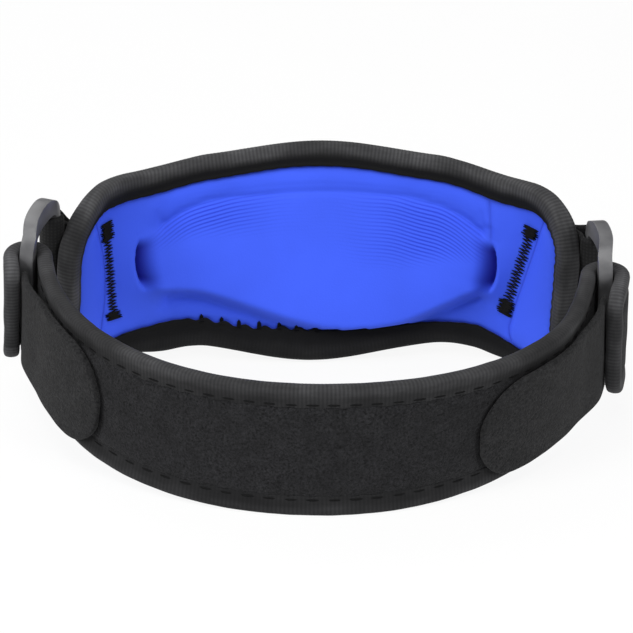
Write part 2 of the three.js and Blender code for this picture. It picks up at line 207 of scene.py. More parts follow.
@dataclass(frozen=True)
class Pattern:
    """The nodes of one material's pattern, with lengths in millimetres; each method adds a few nodes."""

    tree: Tree

    def attribute(self, name: str) -> Socket:
        """Value that the mesh carries at each of its corners."""
        return add_node(self.tree, "ShaderNodeAttribute", {}, attribute_name=name).outputs["Fac"]

    def cut(self) -> Socket:
        """Place on the flat cut of the cloth."""
        return add_node(self.tree, "ShaderNodeUVMap", {}, uv_map=CUT_MAP).outputs["UV"]

    def grain(self, size: float, **sockets: float) -> Socket:
        """Uneven grain that is alike in every direction.

        Args:
            size: usual size of a grain.
            sockets: further inputs of the noise.

        Returns:
            The grain, from 0 to 1.
        """
        place = add_node(self.tree, "ShaderNodeTexCoord", {}).outputs["Object"]
        inputs = {"Vector": place, "Scale": 1.0 / (size * MM), **sockets}
        return add_node(self.tree, "ShaderNodeTexNoise", inputs).outputs["Fac"]

    def streaks(self, length: float, width: float) -> Socket:
        """Uneven streaks along the cut.

        Args:
            length: usual length of a streak.
            width: usual width of a streak.

        Returns:
            The streaks, from 0 to 1.
        """
        scale = (1.0 / length, 1.0 / width, 1.0)
        place = add_node(self.tree, "ShaderNodeMapping", {"Vector": self.cut(), "Scale": scale})
        inputs = {"Vector": place.outputs["Vector"], "Scale": 1.0}
        return add_node(self.tree, "ShaderNodeTexNoise", inputs).outputs["Fac"]

    def bands(self, direction: str, pitch: float, wander: float = 0.0, phase: float = 0.0) -> Socket:
        """Even bands on the cut.

        Args:
            direction: axis of the cut that the bands follow each other along.
            pitch: distance between two bands.
            wander: how unevenly the bands run.
            phase: where the first band starts.

        Returns:
            The bands, from 0 to 1.
        """
        scale = 2.0 * math.pi / WAVE_TURN / pitch
        inputs = {"Vector": self.cut(), "Scale": scale, "Distortion": wander, "Phase Offset": phase}
        return add_node(self.tree, "ShaderNodeTexWave", inputs, bands_direction=direction).outputs["Fac"]

    def calc(self, operation: str, *values: Socket | float) -> Socket:
        """Result of one sum on one or two values."""
        return add_node(self.tree, "ShaderNodeMath", dict(enumerate(values)), operation=operation).outputs[0]

    def spread(
        self, value: Socket, start: Pair = (0.0, 1.0), end: Pair = (0.0, 1.0)
    ) -> Socket:
        """Value carried from one range to another and kept inside it."""
        ranges = {"From Min": start[0], "From Max": start[1], "To Min": end[0], "To Max": end[1]}
        return add_node(self.tree, "ShaderNodeMapRange", {"Value": value, **ranges}).outputs["Result"]

    def blend(self, share: Socket, first: Socket | str, second: str) -> Socket:
        """Colour between two others.

        Args:
            share: how much of the second colour shows.
            first: colour at 0, or the output that holds it.
            second: colour at 1.

        Returns:
            The blended colour.
        """
        start = linear(first) if isinstance(first, str) else first
        inputs = {"Factor": share, "A": start, "B": linear(second)}
        return add_node(self.tree, "ShaderNodeMix", inputs, data_type="RGBA").outputs["Result"]

    def scaled(self, colour: Socket, share: Socket) -> Socket:
        """Colour made darker or lighter by a share."""
        inputs = {0: colour, "Scale": share}
        return add_node(self.tree, "ShaderNodeVectorMath", inputs, operation="SCALE").outputs["Vector"]

    def relief(
        self, height: Socket, depth: float, strength: float, over: Socket | None = None, invert: bool = False
    ) -> Socket:
        """Normal of a surface that a pattern raises.

        Args:
            height: the pattern, from 0 to 1.
            depth: height of the pattern at 1.
            strength: how strongly the relief shows.
            over: normal of a coarser relief below this one.
            invert: whether the pattern is sunk and not raised.

        Returns:
            The normal.
        """
        inputs = {"Height": height, "Distance": depth * MM, "Strength": strength}
        if over:
            inputs["Normal"] = over
        return add_node(self.tree, "ShaderNodeBump", inputs, invert=invert).outputs["Normal"]


# Finishes


@dataclass(frozen=True)
class Finish:
    """Colour and gloss that every finish has; each kind of surface adds its own pattern."""

    name: str
    slot: str | None
    colour: str
    roughness: float
    specular: float = 0.3
    sheen: float = 0.0
    sheen_colour: str = "#ffffff"
    sheen_roughness: float = 0.5

    def material(self) -> bpy.types.Material:
        """Makes the material, or finds it if a piece already has it.

        Returns:
            The material with its pattern nodes.
        """
        found = bpy.data.materials.get(self.name)
        if found:
            return found
        made = bpy.data.materials.new(self.name)
        made.use_nodes = True
        tree = made.node_tree
        plain = {
            "Base Color": linear(self.colour),
            "Roughness": self.roughness,
            "Specular IOR Level": self.specular,
            "Sheen Weight": self.sheen,
            "Sheen Tint": linear(self.sheen_colour),
            "Sheen Roughness": self.sheen_roughness,
        }
        shader = tree.nodes["Principled BSDF"]
        feed(tree, shader, plain)
        feed(tree, shader, self.pattern(Pattern(tree)))
        return made

    def pattern(self, nodes: Pattern) -> dict[str, Any]:
        """Adds the pattern nodes; each kind of surface has its own.

        Args:
            nodes: what adds nodes to the material.

        Returns:
            Inputs of the shader that the pattern sets or feeds.
        """
        raise NotImplementedError

    def dress(self, piece: Piece) -> Piece:
        """Gives the piece this finish."""
        piece.data.materials.clear()
        piece.data.materials.append(self.material())
        if self.slot:
            self.slot
        return piece


@dataclass(frozen=True)
class StretchKnit(Finish):
    """Polyester and elastane warp knit, smooth, with fine ribs that open where it is stretched.

    In its pockets, folds and crease and along its seams the knit's colour is darkened to a deep blue, as
    painted shade.
    """

    rib_colour: str = "#2238b6"
    # Painted shade: the deep blue of the pockets, folds, crease and seams.
    painted_crease_shade_colour: str = "#12187c"
    rib_floor: float = -0.3
    rib_depth: float = 0.06
    loop_size: float = 0.45
    loop_depth: float = 0.05
    shade_size: float = 16.0
    shade_range: Pair = (0.9, 1.08)

    def pattern(self, nodes: Pattern) -> dict[str, Any]:
        """Ribs that follow the foam's top line, strongest where the knit is stretched, over fine loops, with
        painted shade in the creases.
        """
        wave = nodes.calc("SINE", nodes.calc("MULTIPLY", nodes.attribute("rib_row"), 2.0 * math.pi))
        ribs = nodes.spread(wave, (self.rib_floor, 1.0))
        opened = nodes.calc("MULTIPLY", ribs, nodes.attribute("stretch"))
        tone = nodes.blend(opened, self.colour, self.rib_colour)
        # Painted shade in the pockets, folds, crease and along the seams.
        closed = nodes.blend(nodes.attribute("painted_crease_shade"), tone, self.painted_crease_shade_colour)
        shade = nodes.spread(nodes.grain(self.shade_size), end=self.shade_range)
        ribbed = nodes.relief(opened, self.rib_depth, 0.8, invert=True)
        looped = nodes.relief(nodes.grain(self.loop_size, Detail=1.0), self.loop_depth, 0.5, over=ribbed)
        return {"Base Color": nodes.scaled(closed, shade), "Normal": looped}


@dataclass(frozen=True)
class RibbedTape(Finish):
    """Woven edge tape of textured polyester; the rib crests are painted lighter than the grooves, as a
    highlight in uneven patches and streaks.
    """

    # Painted highlight: the lighter colour of the rib crests.
    crest_highlight_colour: str = "#575759"
    groove_share: float = 0.62
    rib_pitch: float = 1.0
    yarn_size: float = 0.35
    yarn_depth: float = 0.08
    highlight_patch_size: float = 7.0
    highlight_patch_range: Pair = (-0.2, 0.55)
    streak_length: float = 8.0
    streak_width: float = 1.8

    def pattern(self, nodes: Pattern) -> dict[str, Any]:
        """Painted highlight on the rib crests along the cut map, in uneven patches and streaks, over yarn
        grain.
        """
        ribs = nodes.bands("X", self.rib_pitch, phase=math.pi / 2.0)
        mild = nodes.spread(ribs, end=(self.groove_share, 1.0))
        crests = nodes.calc("MULTIPLY", nodes.attribute("ribbed"), mild)
        streaks = nodes.streaks(self.streak_length, self.streak_width)
        highlight_patches = nodes.calc("MULTIPLY", nodes.grain(self.highlight_patch_size, Detail=3.0), streaks)
        # Painted highlight on the crests, shown in uneven patches and streaks.
        crest_highlight = nodes.calc("MULTIPLY", crests, nodes.spread(highlight_patches, self.highlight_patch_range))
        tone = nodes.blend(crest_highlight, self.colour, self.crest_highlight_colour)
        yarn = nodes.relief(nodes.grain(self.yarn_size), self.yarn_depth, 0.6)
        return {"Base Color": tone, "Normal": yarn}


@dataclass(frozen=True)
class BrushedPile(Finish):
    """Brushed nylon loop pile: soft matted fibres, painted paler on the tuft tops as a highlight and darker
    in the hollows as shade.
    """

    # Painted highlight: the paler colour of the tuft tops.
    tuft_highlight_colour: str = "#2d2d2f"
    tuft_size: float = 0.6
    tuft_depth: float = 0.4
    tuft_range: Pair = (0.32, 0.68)
    mat_size: float = 5.0
    mat_range: Pair = (0.3, 0.7)
    mat_tone: Pair = (0.6, 1.0)
    fibre_size: float = 0.25
    fibre_depth: float = 0.12

    def pattern(self, nodes: Pattern) -> dict[str, Any]:
        """Tufts in colour, painted paler where the tuft relief stands high and darker where it sinks, in
        uneven matted patches; tufts and fibres in relief.
        """
        tufts = nodes.grain(self.tuft_size, Detail=3.0, Roughness=0.65, Distortion=0.6)
        parted = nodes.spread(tufts, self.tuft_range)
        patches = nodes.spread(nodes.grain(self.mat_size, Detail=3.0), self.mat_range, self.mat_tone)
        # Painted highlight and shade: the colour follows the tuft relief.
        tone = nodes.blend(nodes.calc("MULTIPLY", parted, patches), self.colour, self.tuft_highlight_colour)
        matted = nodes.relief(tufts, self.tuft_depth, 0.8)
        fibrous = nodes.relief(nodes.grain(self.fibre_size), self.fibre_depth, 0.7, over=matted)
        return {"Base Color": tone, "Normal": fibrous}


@dataclass(frozen=True)
class WovenTape(Finish):
    """Plain woven nylon webbing: cross yarns over a lengthwise warp, with a painted highlight on the crowns.
    """

    # Painted highlight: the lighter colour of the crowns.
    crown_highlight_colour: str = "#1d1d1e"
    weft_pitch: float = 0.8
    weft_wander: float = 0.5
    warp_pitch: float = 1.0
    warp_wander: float = 0.3
    yarn_depth: float = 0.08

    def pattern(self, nodes: Pattern) -> dict[str, Any]:
        """Two crossing waves on the cut map, as crowns of the weave in relief and painted lighter as a
        highlight.
        """
        weft = nodes.bands("X", self.weft_pitch, self.weft_wander)
        warp = nodes.bands("Y", self.warp_pitch, self.warp_wander)
        crowns = nodes.calc("MULTIPLY", weft, warp)
        # Painted highlight on the raised crowns.
        tone = nodes.blend(crowns, self.colour, self.crown_highlight_colour)
        return {"Base Color": tone, "Normal": nodes.relief(crowns, self.yarn_depth, 0.8)}


@dataclass(frozen=True)
class MouldedPlastic(Finish):
    """Injection-moulded acetal with a satin spark-eroded skin and scuffed patches."""

    scuff_colour: str = "#6e6e70"
    scuff_size: float = 6.0
    polished: float = 0.07
    dulled: float = 0.1
    grit_size: float = 0.3
    grit_depth: float = 0.03

    def pattern(self, nodes: Pattern) -> dict[str, Any]:
        """Fine grit in relief, slow scuffs in colour and gloss."""
        scuffs = nodes.grain(self.scuff_size, Detail=4.0)
        tone = nodes.blend(scuffs, self.colour, self.scuff_colour)
        gloss = nodes.spread(scuffs, end=(self.roughness - self.polished, self.roughness + self.dulled))
        grit = nodes.relief(nodes.grain(self.grit_size), self.grit_depth, 0.5)
        return {"Base Color": tone, "Roughness": gloss, "Normal": grit}


@dataclass(frozen=True)
class KnitFacedFoam(Finish):
    """Foam rubber faced with nylon jersey: dull black, with the columns of the knit showing."""

    loop_colour: str = "#303033"
    column_pitch: float = 0.9
    row_pitch: float = 0.7
    wander: float = 0.6
    loop_depth: float = 0.12

    def pattern(self, nodes: Pattern) -> dict[str, Any]:
        """Columns and rows of knit loops on the cut map."""
        columns = nodes.bands("X", self.column_pitch, self.wander)
        rows = nodes.bands("Y", self.row_pitch, self.wander)
        loops = nodes.calc("MULTIPLY", columns, rows)
        tone = nodes.blend(loops, self.colour, self.loop_colour)
        return {"Base Color": tone, "Normal": nodes.relief(loops, self.loop_depth, 0.7)}


@dataclass(frozen=True)
class SewingThread(Finish):
    """Bonded nylon thread, waxy black, with lint along it: darker than the cloth it sinks into."""

    lint_colour: str = "#131313"
    twist_size: float = 0.4
    twist_depth: float = 0.1

    def pattern(self, nodes: Pattern) -> dict[str, Any]:
        """Twist and lint as fine grain."""
        twist = nodes.grain(self.twist_size)
        tone = nodes.blend(twist, self.colour, self.lint_colour)
        return {"Base Color": tone, "Normal": nodes.relief(twist, self.twist_depth, 0.6)}


@dataclass(frozen=True)
class OpalTable(Finish):
    """Opal acrylic light table: lit from below, so that nothing on it throws a shadow."""

    shade_colour: str = "#484848"
    shade_size: float = 90.0
    glow_colour: str = "#ffffff"
    glow: float = 0.9

    def pattern(self, nodes: Pattern) -> dict[str, Any]:
        """Slow unevenness of the sheet over its even glow."""
        tone = nodes.blend(nodes.grain(self.shade_size), self.colour, self.shade_colour)
        glow = linear(self.glow_colour)
        return {"Base Color": tone, "Emission Color": glow, "Emission Strength": self.glow}


LINING = StretchKnit("blue_stretch_knit", "lining", "#3754d8", 0.7, 0.12, 0.05, "#9fb0ff")
BINDING = RibbedTape("ribbed_edge_tape", "binding", "#0d0d0e", 0.75, 0.1, 0.03)
PILE = BrushedPile("brushed_loop_pile", "loop_pile", "#0f0f10", 0.95, 0.08, 0.05)
# The tab's tuft tops get their own painted highlight colour.
TAB_TAPE = BrushedPile(
    "brushed_tab_tape", "hook_tab", "#121213", 0.95, 0.08, 0.05, tuft_highlight_colour="#2f2f30", tuft_size=0.7
)
FOAM = KnitFacedFoam("knit_faced_foam", "neoprene", "#1a1a1c", 0.85, 0.2, 0.1)
RING_PLASTIC = MouldedPlastic("satin_moulded_acetal", "plastic", "#2d2d2f", 0.36, 0.5)
WEBBING_TAPE = WovenTape("woven_nylon_webbing", "webbing", "#0c0c0d", 0.75, 0.2, 0.03)
THREAD = SewingThread("bonded_thread", "binding", "#0d0d0e", 0.8, 0.08)
LIGHT_TABLE = OpalTable("opal_light_table", None, "#4e4e4e", 0.9, 0.1)


# Mesh making


def link_mesh(name: str, points: Array, faces: list[list[int]]) -> Piece:
    """Makes a smooth mesh object at the origin from millimetre points.

    Args:
        name: name of the piece.
        points: corners in the drawing frame, one row each.
        faces: corner numbers of each face.

    Returns:
        The new object.
    """
    mesh = bpy.data.meshes.new(name)
    mesh.from_pydata(((points + FOOTPRINT_SHIFT) * MM).tolist(), [], faces)
    mesh.shade_smooth()
    piece = bpy.data.objects.new(name, mesh)
    bpy.context.scene.collection.objects.link(piece)
    return piece


def new_piece(name: str, points: Array, faces: Array, cut: Array) -> Piece:
    """Makes a piece of cloth whose faces are turned outwards.

    Args:
        name: name of the piece.
        points: corners in the drawing frame, one row each.
        faces: corner numbers of each face.
        cut: place of each corner on the flat cut, in millimetres.

    Returns:
        The new piece.
    """
    piece = link_mesh(name, points, faces.tolist())
    mesh = piece.data
    corners = np.zeros(len(mesh.loops), np.int32)
    mesh.loops.foreach_get("vertex_index", corners)
    layer = mesh.uv_layers.new(name=CUT_MAP)
    layer.data.foreach_set("uv", cut.astype(np.float32)[corners].ravel())
    body = bmesh.new()
    body.from_mesh(mesh)
    bmesh.ops.recalc_face_normals(body, faces=body.faces)
    body.to_mesh(mesh)
    body.free()
    return piece


def carry(piece: Piece, name: str, values: Array) -> None:
    """Lets a piece carry a value at each of its corners, for its finish to read."""
    layer = piece.data.attributes.new(name, "FLOAT", "POINT")
    layer.data.foreach_set("value", values.ravel().astype(np.float32))


def grid_faces(
    columns: int, rows: int, offset: int = 0, round_rows: bool = False, round_columns: bool = False
) -> Array:
    """Quads of a grid whose corners are numbered column by column.

    Args:
        columns: number of columns of corners.
        rows: number of corners in a column.
        offset: number of the grid's first corner.
        round_rows: whether a column closes on itself.
        round_columns: whether the last column joins the first.

    Returns:
        One row of four corner numbers for each quad.
    """
    across = np.arange(columns if round_columns else columns - 1)
    upward = np.arange(rows if round_rows else rows - 1)
    i, j = [part.ravel() for part in np.meshgrid(across, upward, indexing="ij")]
    following, above = (i + 1) % columns, (j + 1) % rows
    corners = [i * rows + j, following * rows + j, following * rows + above, i * rows + above]
    return offset + np.stack(corners, -1)


def edge_distance(along: Array, low: Array, high: Array, up: Array) -> Array:
    """How far the corners of a grid at some heights lie from its nearest edge, low, high or end."""
    across = np.minimum(up - low[:, None], high[:, None] - up)
    lengthwise = np.minimum(along - along[0], along[-1] - along)
    return np.minimum(across, lengthwise[:, None])


def two_faced(
    name: str, far: Array, up: Array, outs: tuple[Array, Array], point: PointAt
) -> Piece:
    """A closed wall between two faces that share one grid.

    Args:
        name: name of the piece.
        far: place along of each corner of the grid.
        up: height of each corner of the grid.
        outs: distance out of each corner, on one face and on the other.
        point: bends a place along, up and out into the drawing frame.

    Returns:
        The new piece.
    """
    columns, rows = up.shape
    front = np.arange(up.size).reshape(up.shape)
    rim = np.concatenate([front[:-1, 0], front[-1, :-1], front[:0:-1, -1], front[0, :0:-1]])
    onward = np.roll(rim, -1)
    faces = [
        grid_faces(columns, rows),
        grid_faces(columns, rows, up.size),
        np.stack([rim, onward, onward + up.size, rim + up.size], -1),
    ]
    points = [point(far.ravel(), up.ravel(), out.ravel()) for out in outs]
    cut = np.tile(np.stack([far.ravel(), up.ravel()], -1), (2, 1))
    return new_piece(name, np.concatenate(points), np.concatenate(faces), cut)


@dataclass(frozen=True)
class SoftWall:
    """A wall of cloth with two faces that round down to its edges."""

    rows: int
    half_thickness: float
    soft: float
    edge_loss: float = 0.85
    evenness: float = 0.35

    def build(self, name: str, along: Array, low: Array, high: Array, point: PointAt) -> Piece:
        """Builds the wall and bends it into place.

        Args:
            name: name of the piece.
            along: places of the columns along the piece.
            low: lower edge at each column.
            high: upper edge at each column.
            point: bends a place along, up and out into the drawing frame.

        Returns:
            The new piece.
        """
        even = np.linspace(0.0, 1.0, self.rows)
        share = mix(0.5 - 0.5 * np.cos(math.pi * even), even, self.evenness)
        up = low[:, None] + (high - low)[:, None] * share
        far = np.broadcast_to(along[:, None], up.shape)
        near = np.clip(1.0 - edge_distance(along, low, high, up) / self.soft, 0.0, 1.0)
        thick = self.half_thickness * np.sqrt(1.0 - self.edge_loss * near * near)
        return two_faced(name, far, up, (thick, -thick), point)


def thread_points(line: Array, radius: float, sides: int = 6) -> tuple[Array, list[list[int]]]:
    """Corners and faces of a thread along a line of points.

    Args:
        line: points that the thread's middle follows.
        radius: half of the thread's thickness.
        sides: number of flats round the thread.

    Returns:
        The corners, and the corner numbers of each face.
    """
    ahead = unit(np.gradient(line, axis=0))
    sideways = unit(np.cross(ahead, THREAD_UP))
    raised = np.cross(sideways, ahead)
    turn = 2.0 * math.pi * np.arange(sides)[None, :, None] / sides
    thick = np.full(len(line), radius)
    thick[[0, -1]] *= THREAD_END
    ring = np.cos(turn) * sideways[:, None, :] + np.sin(turn) * raised[:, None, :]
    corners = (line[:, None, :] + thick[:, None, None] * ring).reshape(-1, 3)
    faces = grid_faces(len(line), sides, round_rows=True).tolist()
    faces.append(list(range(sides))[::-1])
    faces.append(list(range(len(corners) - sides, len(corners))))
    return corners, faces


def threads(name: str, lines: list[Array], radii: list[float]) -> Piece:
    """One piece of many short threads.

    Args:
        name: name of the piece.
        lines: middle line of each thread.
        radii: half of each thread's thickness.

    Returns:
        The new piece.
    """
    points: list[Array] = []
    faces: list[list[int]] = []
    count = 0
    for line, radius in zip(lines, radii):
        corners, sides = thread_points(line, radius)
        faces.extend([[number + count for number in side] for side in sides])
        points.append(corners)
        count += len(corners)
    return link_mesh(name, np.concatenate(points), faces)


def settle(piece: Piece, finish: Finish, *nodes: str) -> Piece:
    """Dresses a finished piece, lets it ride on the part and stand for its solids.

    Args:
        piece: the finished piece.
        finish: what it is made of.
        nodes: names of the solids that it stands for.

    Returns:
        The same piece.
    """
    finish.dress(piece)
    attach(piece, "root")
    if nodes:
        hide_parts(*nodes)
    LOG.info("%s: %d faces", piece.name, len(piece.data.polygons))
    return piece


# Forms that several pieces follow


@dataclass(frozen=True)
class SideSizes:
    """How one side of the strap lies: its span, its ring, its folded end and its tab."""

    sign: float
    half_span: float
    rise: float
    rise_curve: float
    lean: float
    end_lean: float
    ring_angle: float
    end_angle: float
    end_offset: float
    tab_angle: float
    tab_hidden: float
    webbing_up: float
    pad_radius: float
    pad_length: float
    pad_lean: float
    pad_lean_start: float
    pad_flare: float
    ring_turn_in: float


class Side(Enum):
    """The two sides of the loop, as the strap ends were pulled through."""

    LEFT = SideSizes(
        sign=-1.0, half_span=72.4, rise=12.2, rise_curve=1.25, lean=-2.0, end_lean=-2.0,
        ring_angle=87.5, end_angle=82.0, end_offset=8.8, tab_angle=47.7, tab_hidden=3.0, webbing_up=-0.2,
        pad_radius=40.0, pad_length=76.5, pad_lean=-5.0, pad_lean_start=44.0, pad_flare=-0.8,
        ring_turn_in=17.0,
    )
    RIGHT = SideSizes(
        sign=1.0, half_span=68.7, rise=7.2, rise_curve=1.2, lean=7.0, end_lean=0.0,
        ring_angle=85.5, end_angle=75.5, end_offset=8.2, tab_angle=32.7, tab_hidden=4.5, webbing_up=0.0,
        pad_radius=34.5, pad_length=73.5, pad_lean=3.0, pad_lean_start=30.0, pad_flare=1.8,
        ring_turn_in=9.5,
    )

    @property
    def label(self) -> str:
        """Name of the side in the names of its pieces."""
        return self.name.lower()


def sided(place: Array, size: str) -> Array:
    """The left side's size where a place along is negative, the right side's elsewhere."""
    return np.where(place < 0.0, getattr(Side.LEFT.value, size), getattr(Side.RIGHT.value, size))


@dataclass(frozen=True)
class PadForm:
    """The pad's bent wall: a flat middle that leans and is tucked in at the bottom, and tighter ends."""

    back_y: float = 46.8
    middle_height: float = 29.5
    middle_radius: float = 600.0
    middle_half_length: float = 36.0
    lean: float = 8.0
    lean_length: float = 28.0
    tuck: float = 7.5
    tuck_middle: float = -8.0
    tuck_length: float = 28.0
    droop: float = 3.2
    droop_start: float = 30.0
    droop_length: float = 20.0
    waist_half_height: float = 24.7
    top_bump: float = 4.5
    top_bump_length: float = 27.0
    bottom_bump: float = 6.0
    bottom_bump_middle: float = -3.0
    bottom_bump_length: float = 27.0
    shoulder: float = 1.1
    shoulder_middle: float = -54.0
    shoulder_length: float = 13.0
    flare_start: float = 42.0
    flare_length: float = 14.0
    top_corner_radius: float = 18.0
    bottom_corner_radius: float = 12.0

    def frame(self, along: Array) -> tuple[Array, Array, Array]:
        """Centre line, upward and outward directions of the wall.

        Args:
            along: places along the pad's middle line.

        Returns:
            The centre, the direction across the pad and the direction out of it at each place.
        """
        sign, radius = sided(along, "sign"), sided(along, "pad_radius")
        run = np.abs(along)
        knee = np.minimum(run, self.middle_half_length) / self.middle_radius
        turn = knee + np.maximum(0.0, run - self.middle_half_length) / radius
        x = self.middle_radius * np.sin(knee) + radius * (np.sin(turn) - np.sin(knee))
        drop = self.middle_radius * (1.0 - np.cos(knee)) + radius * (np.cos(knee) - np.cos(turn))
        droop = self.droop * ramp(run, self.droop_start, self.droop_length)
        leaning = ramp(run, sided(along, "pad_lean_start"), self.lean_length)
        tuck = self.tuck * bump_at(along, self.tuck_middle, self.tuck_length)
        lean = np.radians(mix(self.lean, sided(along, "pad_lean"), leaning) + tuck)
        level = np.stack([sign * np.sin(turn), np.cos(turn), np.zeros_like(run)], -1)
        upright = np.array([0.0, 0.0, 1.0])
        outward = level * np.cos(lean)[..., None] - upright * np.sin(lean)[..., None]
        across = level * np.sin(lean)[..., None] + upright * np.cos(lean)[..., None]
        centre = np.stack([sign * x, self.back_y - drop, self.middle_height - droop], -1)
        return centre, across, outward

    def point(self, along: Array, up: Array, out: Array) -> Array:
        """Place in the drawing frame of a place along, up and out of the wall."""
        centre, across, outward = self.frame(along)
        return centre + across * up[..., None] + outward * out[..., None]

    def edges(self, along: Array, margin: float = 0.0) -> tuple[Array, Array]:
        """Lower and upper edge of the pad, or of what lies a margin inside it.

        Args:
            along: places along the pad.
            margin: distance inside the pad's own edge.

        Returns:
            The lower and the upper edge at each place.
        """
        run = np.abs(along)
        from_end = sided(along, "pad_length") - margin - run
        waist = self.waist_half_height - margin
        flare = sided(along, "pad_flare") * ramp(run, self.flare_start, self.flare_length)
        low_bump = self.bottom_bump * bump_at(along, self.bottom_bump_middle, self.bottom_bump_length)
        high_bump = self.top_bump * bump_at(run, 0.0, self.top_bump_length)
        high_bump = high_bump + self.shoulder * bump_at(along, self.shoulder_middle, self.shoulder_length)
        low = corner_cut(from_end, self.bottom_corner_radius - margin) - waist - low_bump - flare
        high = waist + high_bump - corner_cut(from_end, self.top_corner_radius - margin)
        return low, high

    def columns(self, margin: float, count: int) -> tuple[Array, Array, Array]:
        """Columns from end to end of the pad, closer together at its round ends.

        Args:
            margin: distance inside the pad's own edge.
            count: number of columns.

        Returns:
            The place along, the lower edge and the upper edge of each column.
        """
        even = np.linspace(-1.0, 1.0, count)
        along = (sided(even, "pad_length") - margin) * mix(even, np.sin(even * math.pi / 2.0), 0.45)
        low, high = self.edges(along, margin)
        return along, low, high


@dataclass(frozen=True)
class FoamLens:
    """The pressure pad under the lining: a wedge, thickest along its lower ridge, with blunt round ends."""

    left_end: float = -51.2
    right_end: float = 47.2
    nose: float = 6.5
    most: float = 6.2
    end_loss: float = 0.6
    end_fullness: float = 0.7
    drop_over: float = 4.2
    ease: float = 3.0
    ridge: Table = (
        (-52.0, -3.5), (-47.0, -5.2), (-34.0, -8.8), (-24.8, -12.0), (-10.8, -17.0), (0.0, -19.8),
        (9.0, -20.6), (21.8, -18.2), (31.8, -13.6), (40.2, -8.0), (48.0, -3.5),
    )
    top: Table = (
        (-52.0, 6.5), (-44.0, 9.5), (-35.5, 12.5), (-17.5, 16.0), (0.0, 17.0), (20.0, 15.5),
        (35.0, 11.5), (42.0, 8.5), (48.0, 6.0),
    )

    def height(self, along: Array, up: Array) -> Array:
        """How far the foam stands out at a place on the pad.

        Args:
            along: places along the pad.
            up: heights across the pad.

        Returns:
            The height of the foam over the flat pad.
        """
        ridge, top = drawn(self.ridge, along, self.ease), drawn(self.top, along, self.ease)
        middle, half = (self.left_end + self.right_end) / 2.0, (self.right_end - self.left_end) / 2.0
        endwards = np.clip(((along - middle) / half) ** 2, 0.0, 1.0)
        crest = self.most - self.end_loss * endwards
        share = np.clip((top - up) / (top - ridge), 0.0, 1.0)
        slope = mix(share, np.sin(0.5 * math.pi * share) ** self.end_fullness, endwards)
        below = 1.0 - ramp(ridge - up, 0.0, self.drop_over)
        from_end = np.minimum(along - self.left_end, self.right_end - along)
        blunt = np.sqrt(np.clip(1.0 - np.clip(1.0 - from_end / self.nose, 0.0, 1.0) ** 2, 0.0, 1.0))
        return crest * blunt * np.where(up > ridge, slope, below)


class Ribbon:
    """A flat band along stations: a place on it by its length, height and distance out."""

    def __init__(self, centres: Array, across: Array, half_widths: Array) -> None:
        """Measures the band.

        Args:
            centres: middle of the band at each station.
            across: direction across the band at each station.
            half_widths: half of the band's width at each station.
        """
        self.centres = centres
        self.across = across
        self.half_widths = half_widths
        steps = np.linalg.norm(np.diff(centres, axis=0), axis=1)
        self.lengths = np.concatenate([[0.0], np.cumsum(steps)])
        ahead = np.empty_like(centres)
        ahead[1:-1] = centres[2:] - centres[:-2]
        ahead[0] = centres[1] - centres[0]
        ahead[-1] = centres[-1] - centres[-2]
        self.faces = unit(np.cross(ahead, across))

    @property
    def length(self) -> float:
        """Whole length of the band."""
        return float(self.lengths[-1])

    def half_width(self, along: Array) -> Array:
        """Half of the band's width at places along it."""
        return np.interp(along, self.lengths, self.half_widths)

    def point(self, along: Array, up: Array, out: Array) -> Array:
        """Place in the drawing frame of a place along, up and out of the band."""
        pick = [np.stack([np.interp(along, self.lengths, rows[:, k]) for k in range(3)], -1)
                for rows in (self.centres, self.across, self.faces)]
        return pick[0] + pick[1] * up[..., None] + pick[2] * out[..., None]


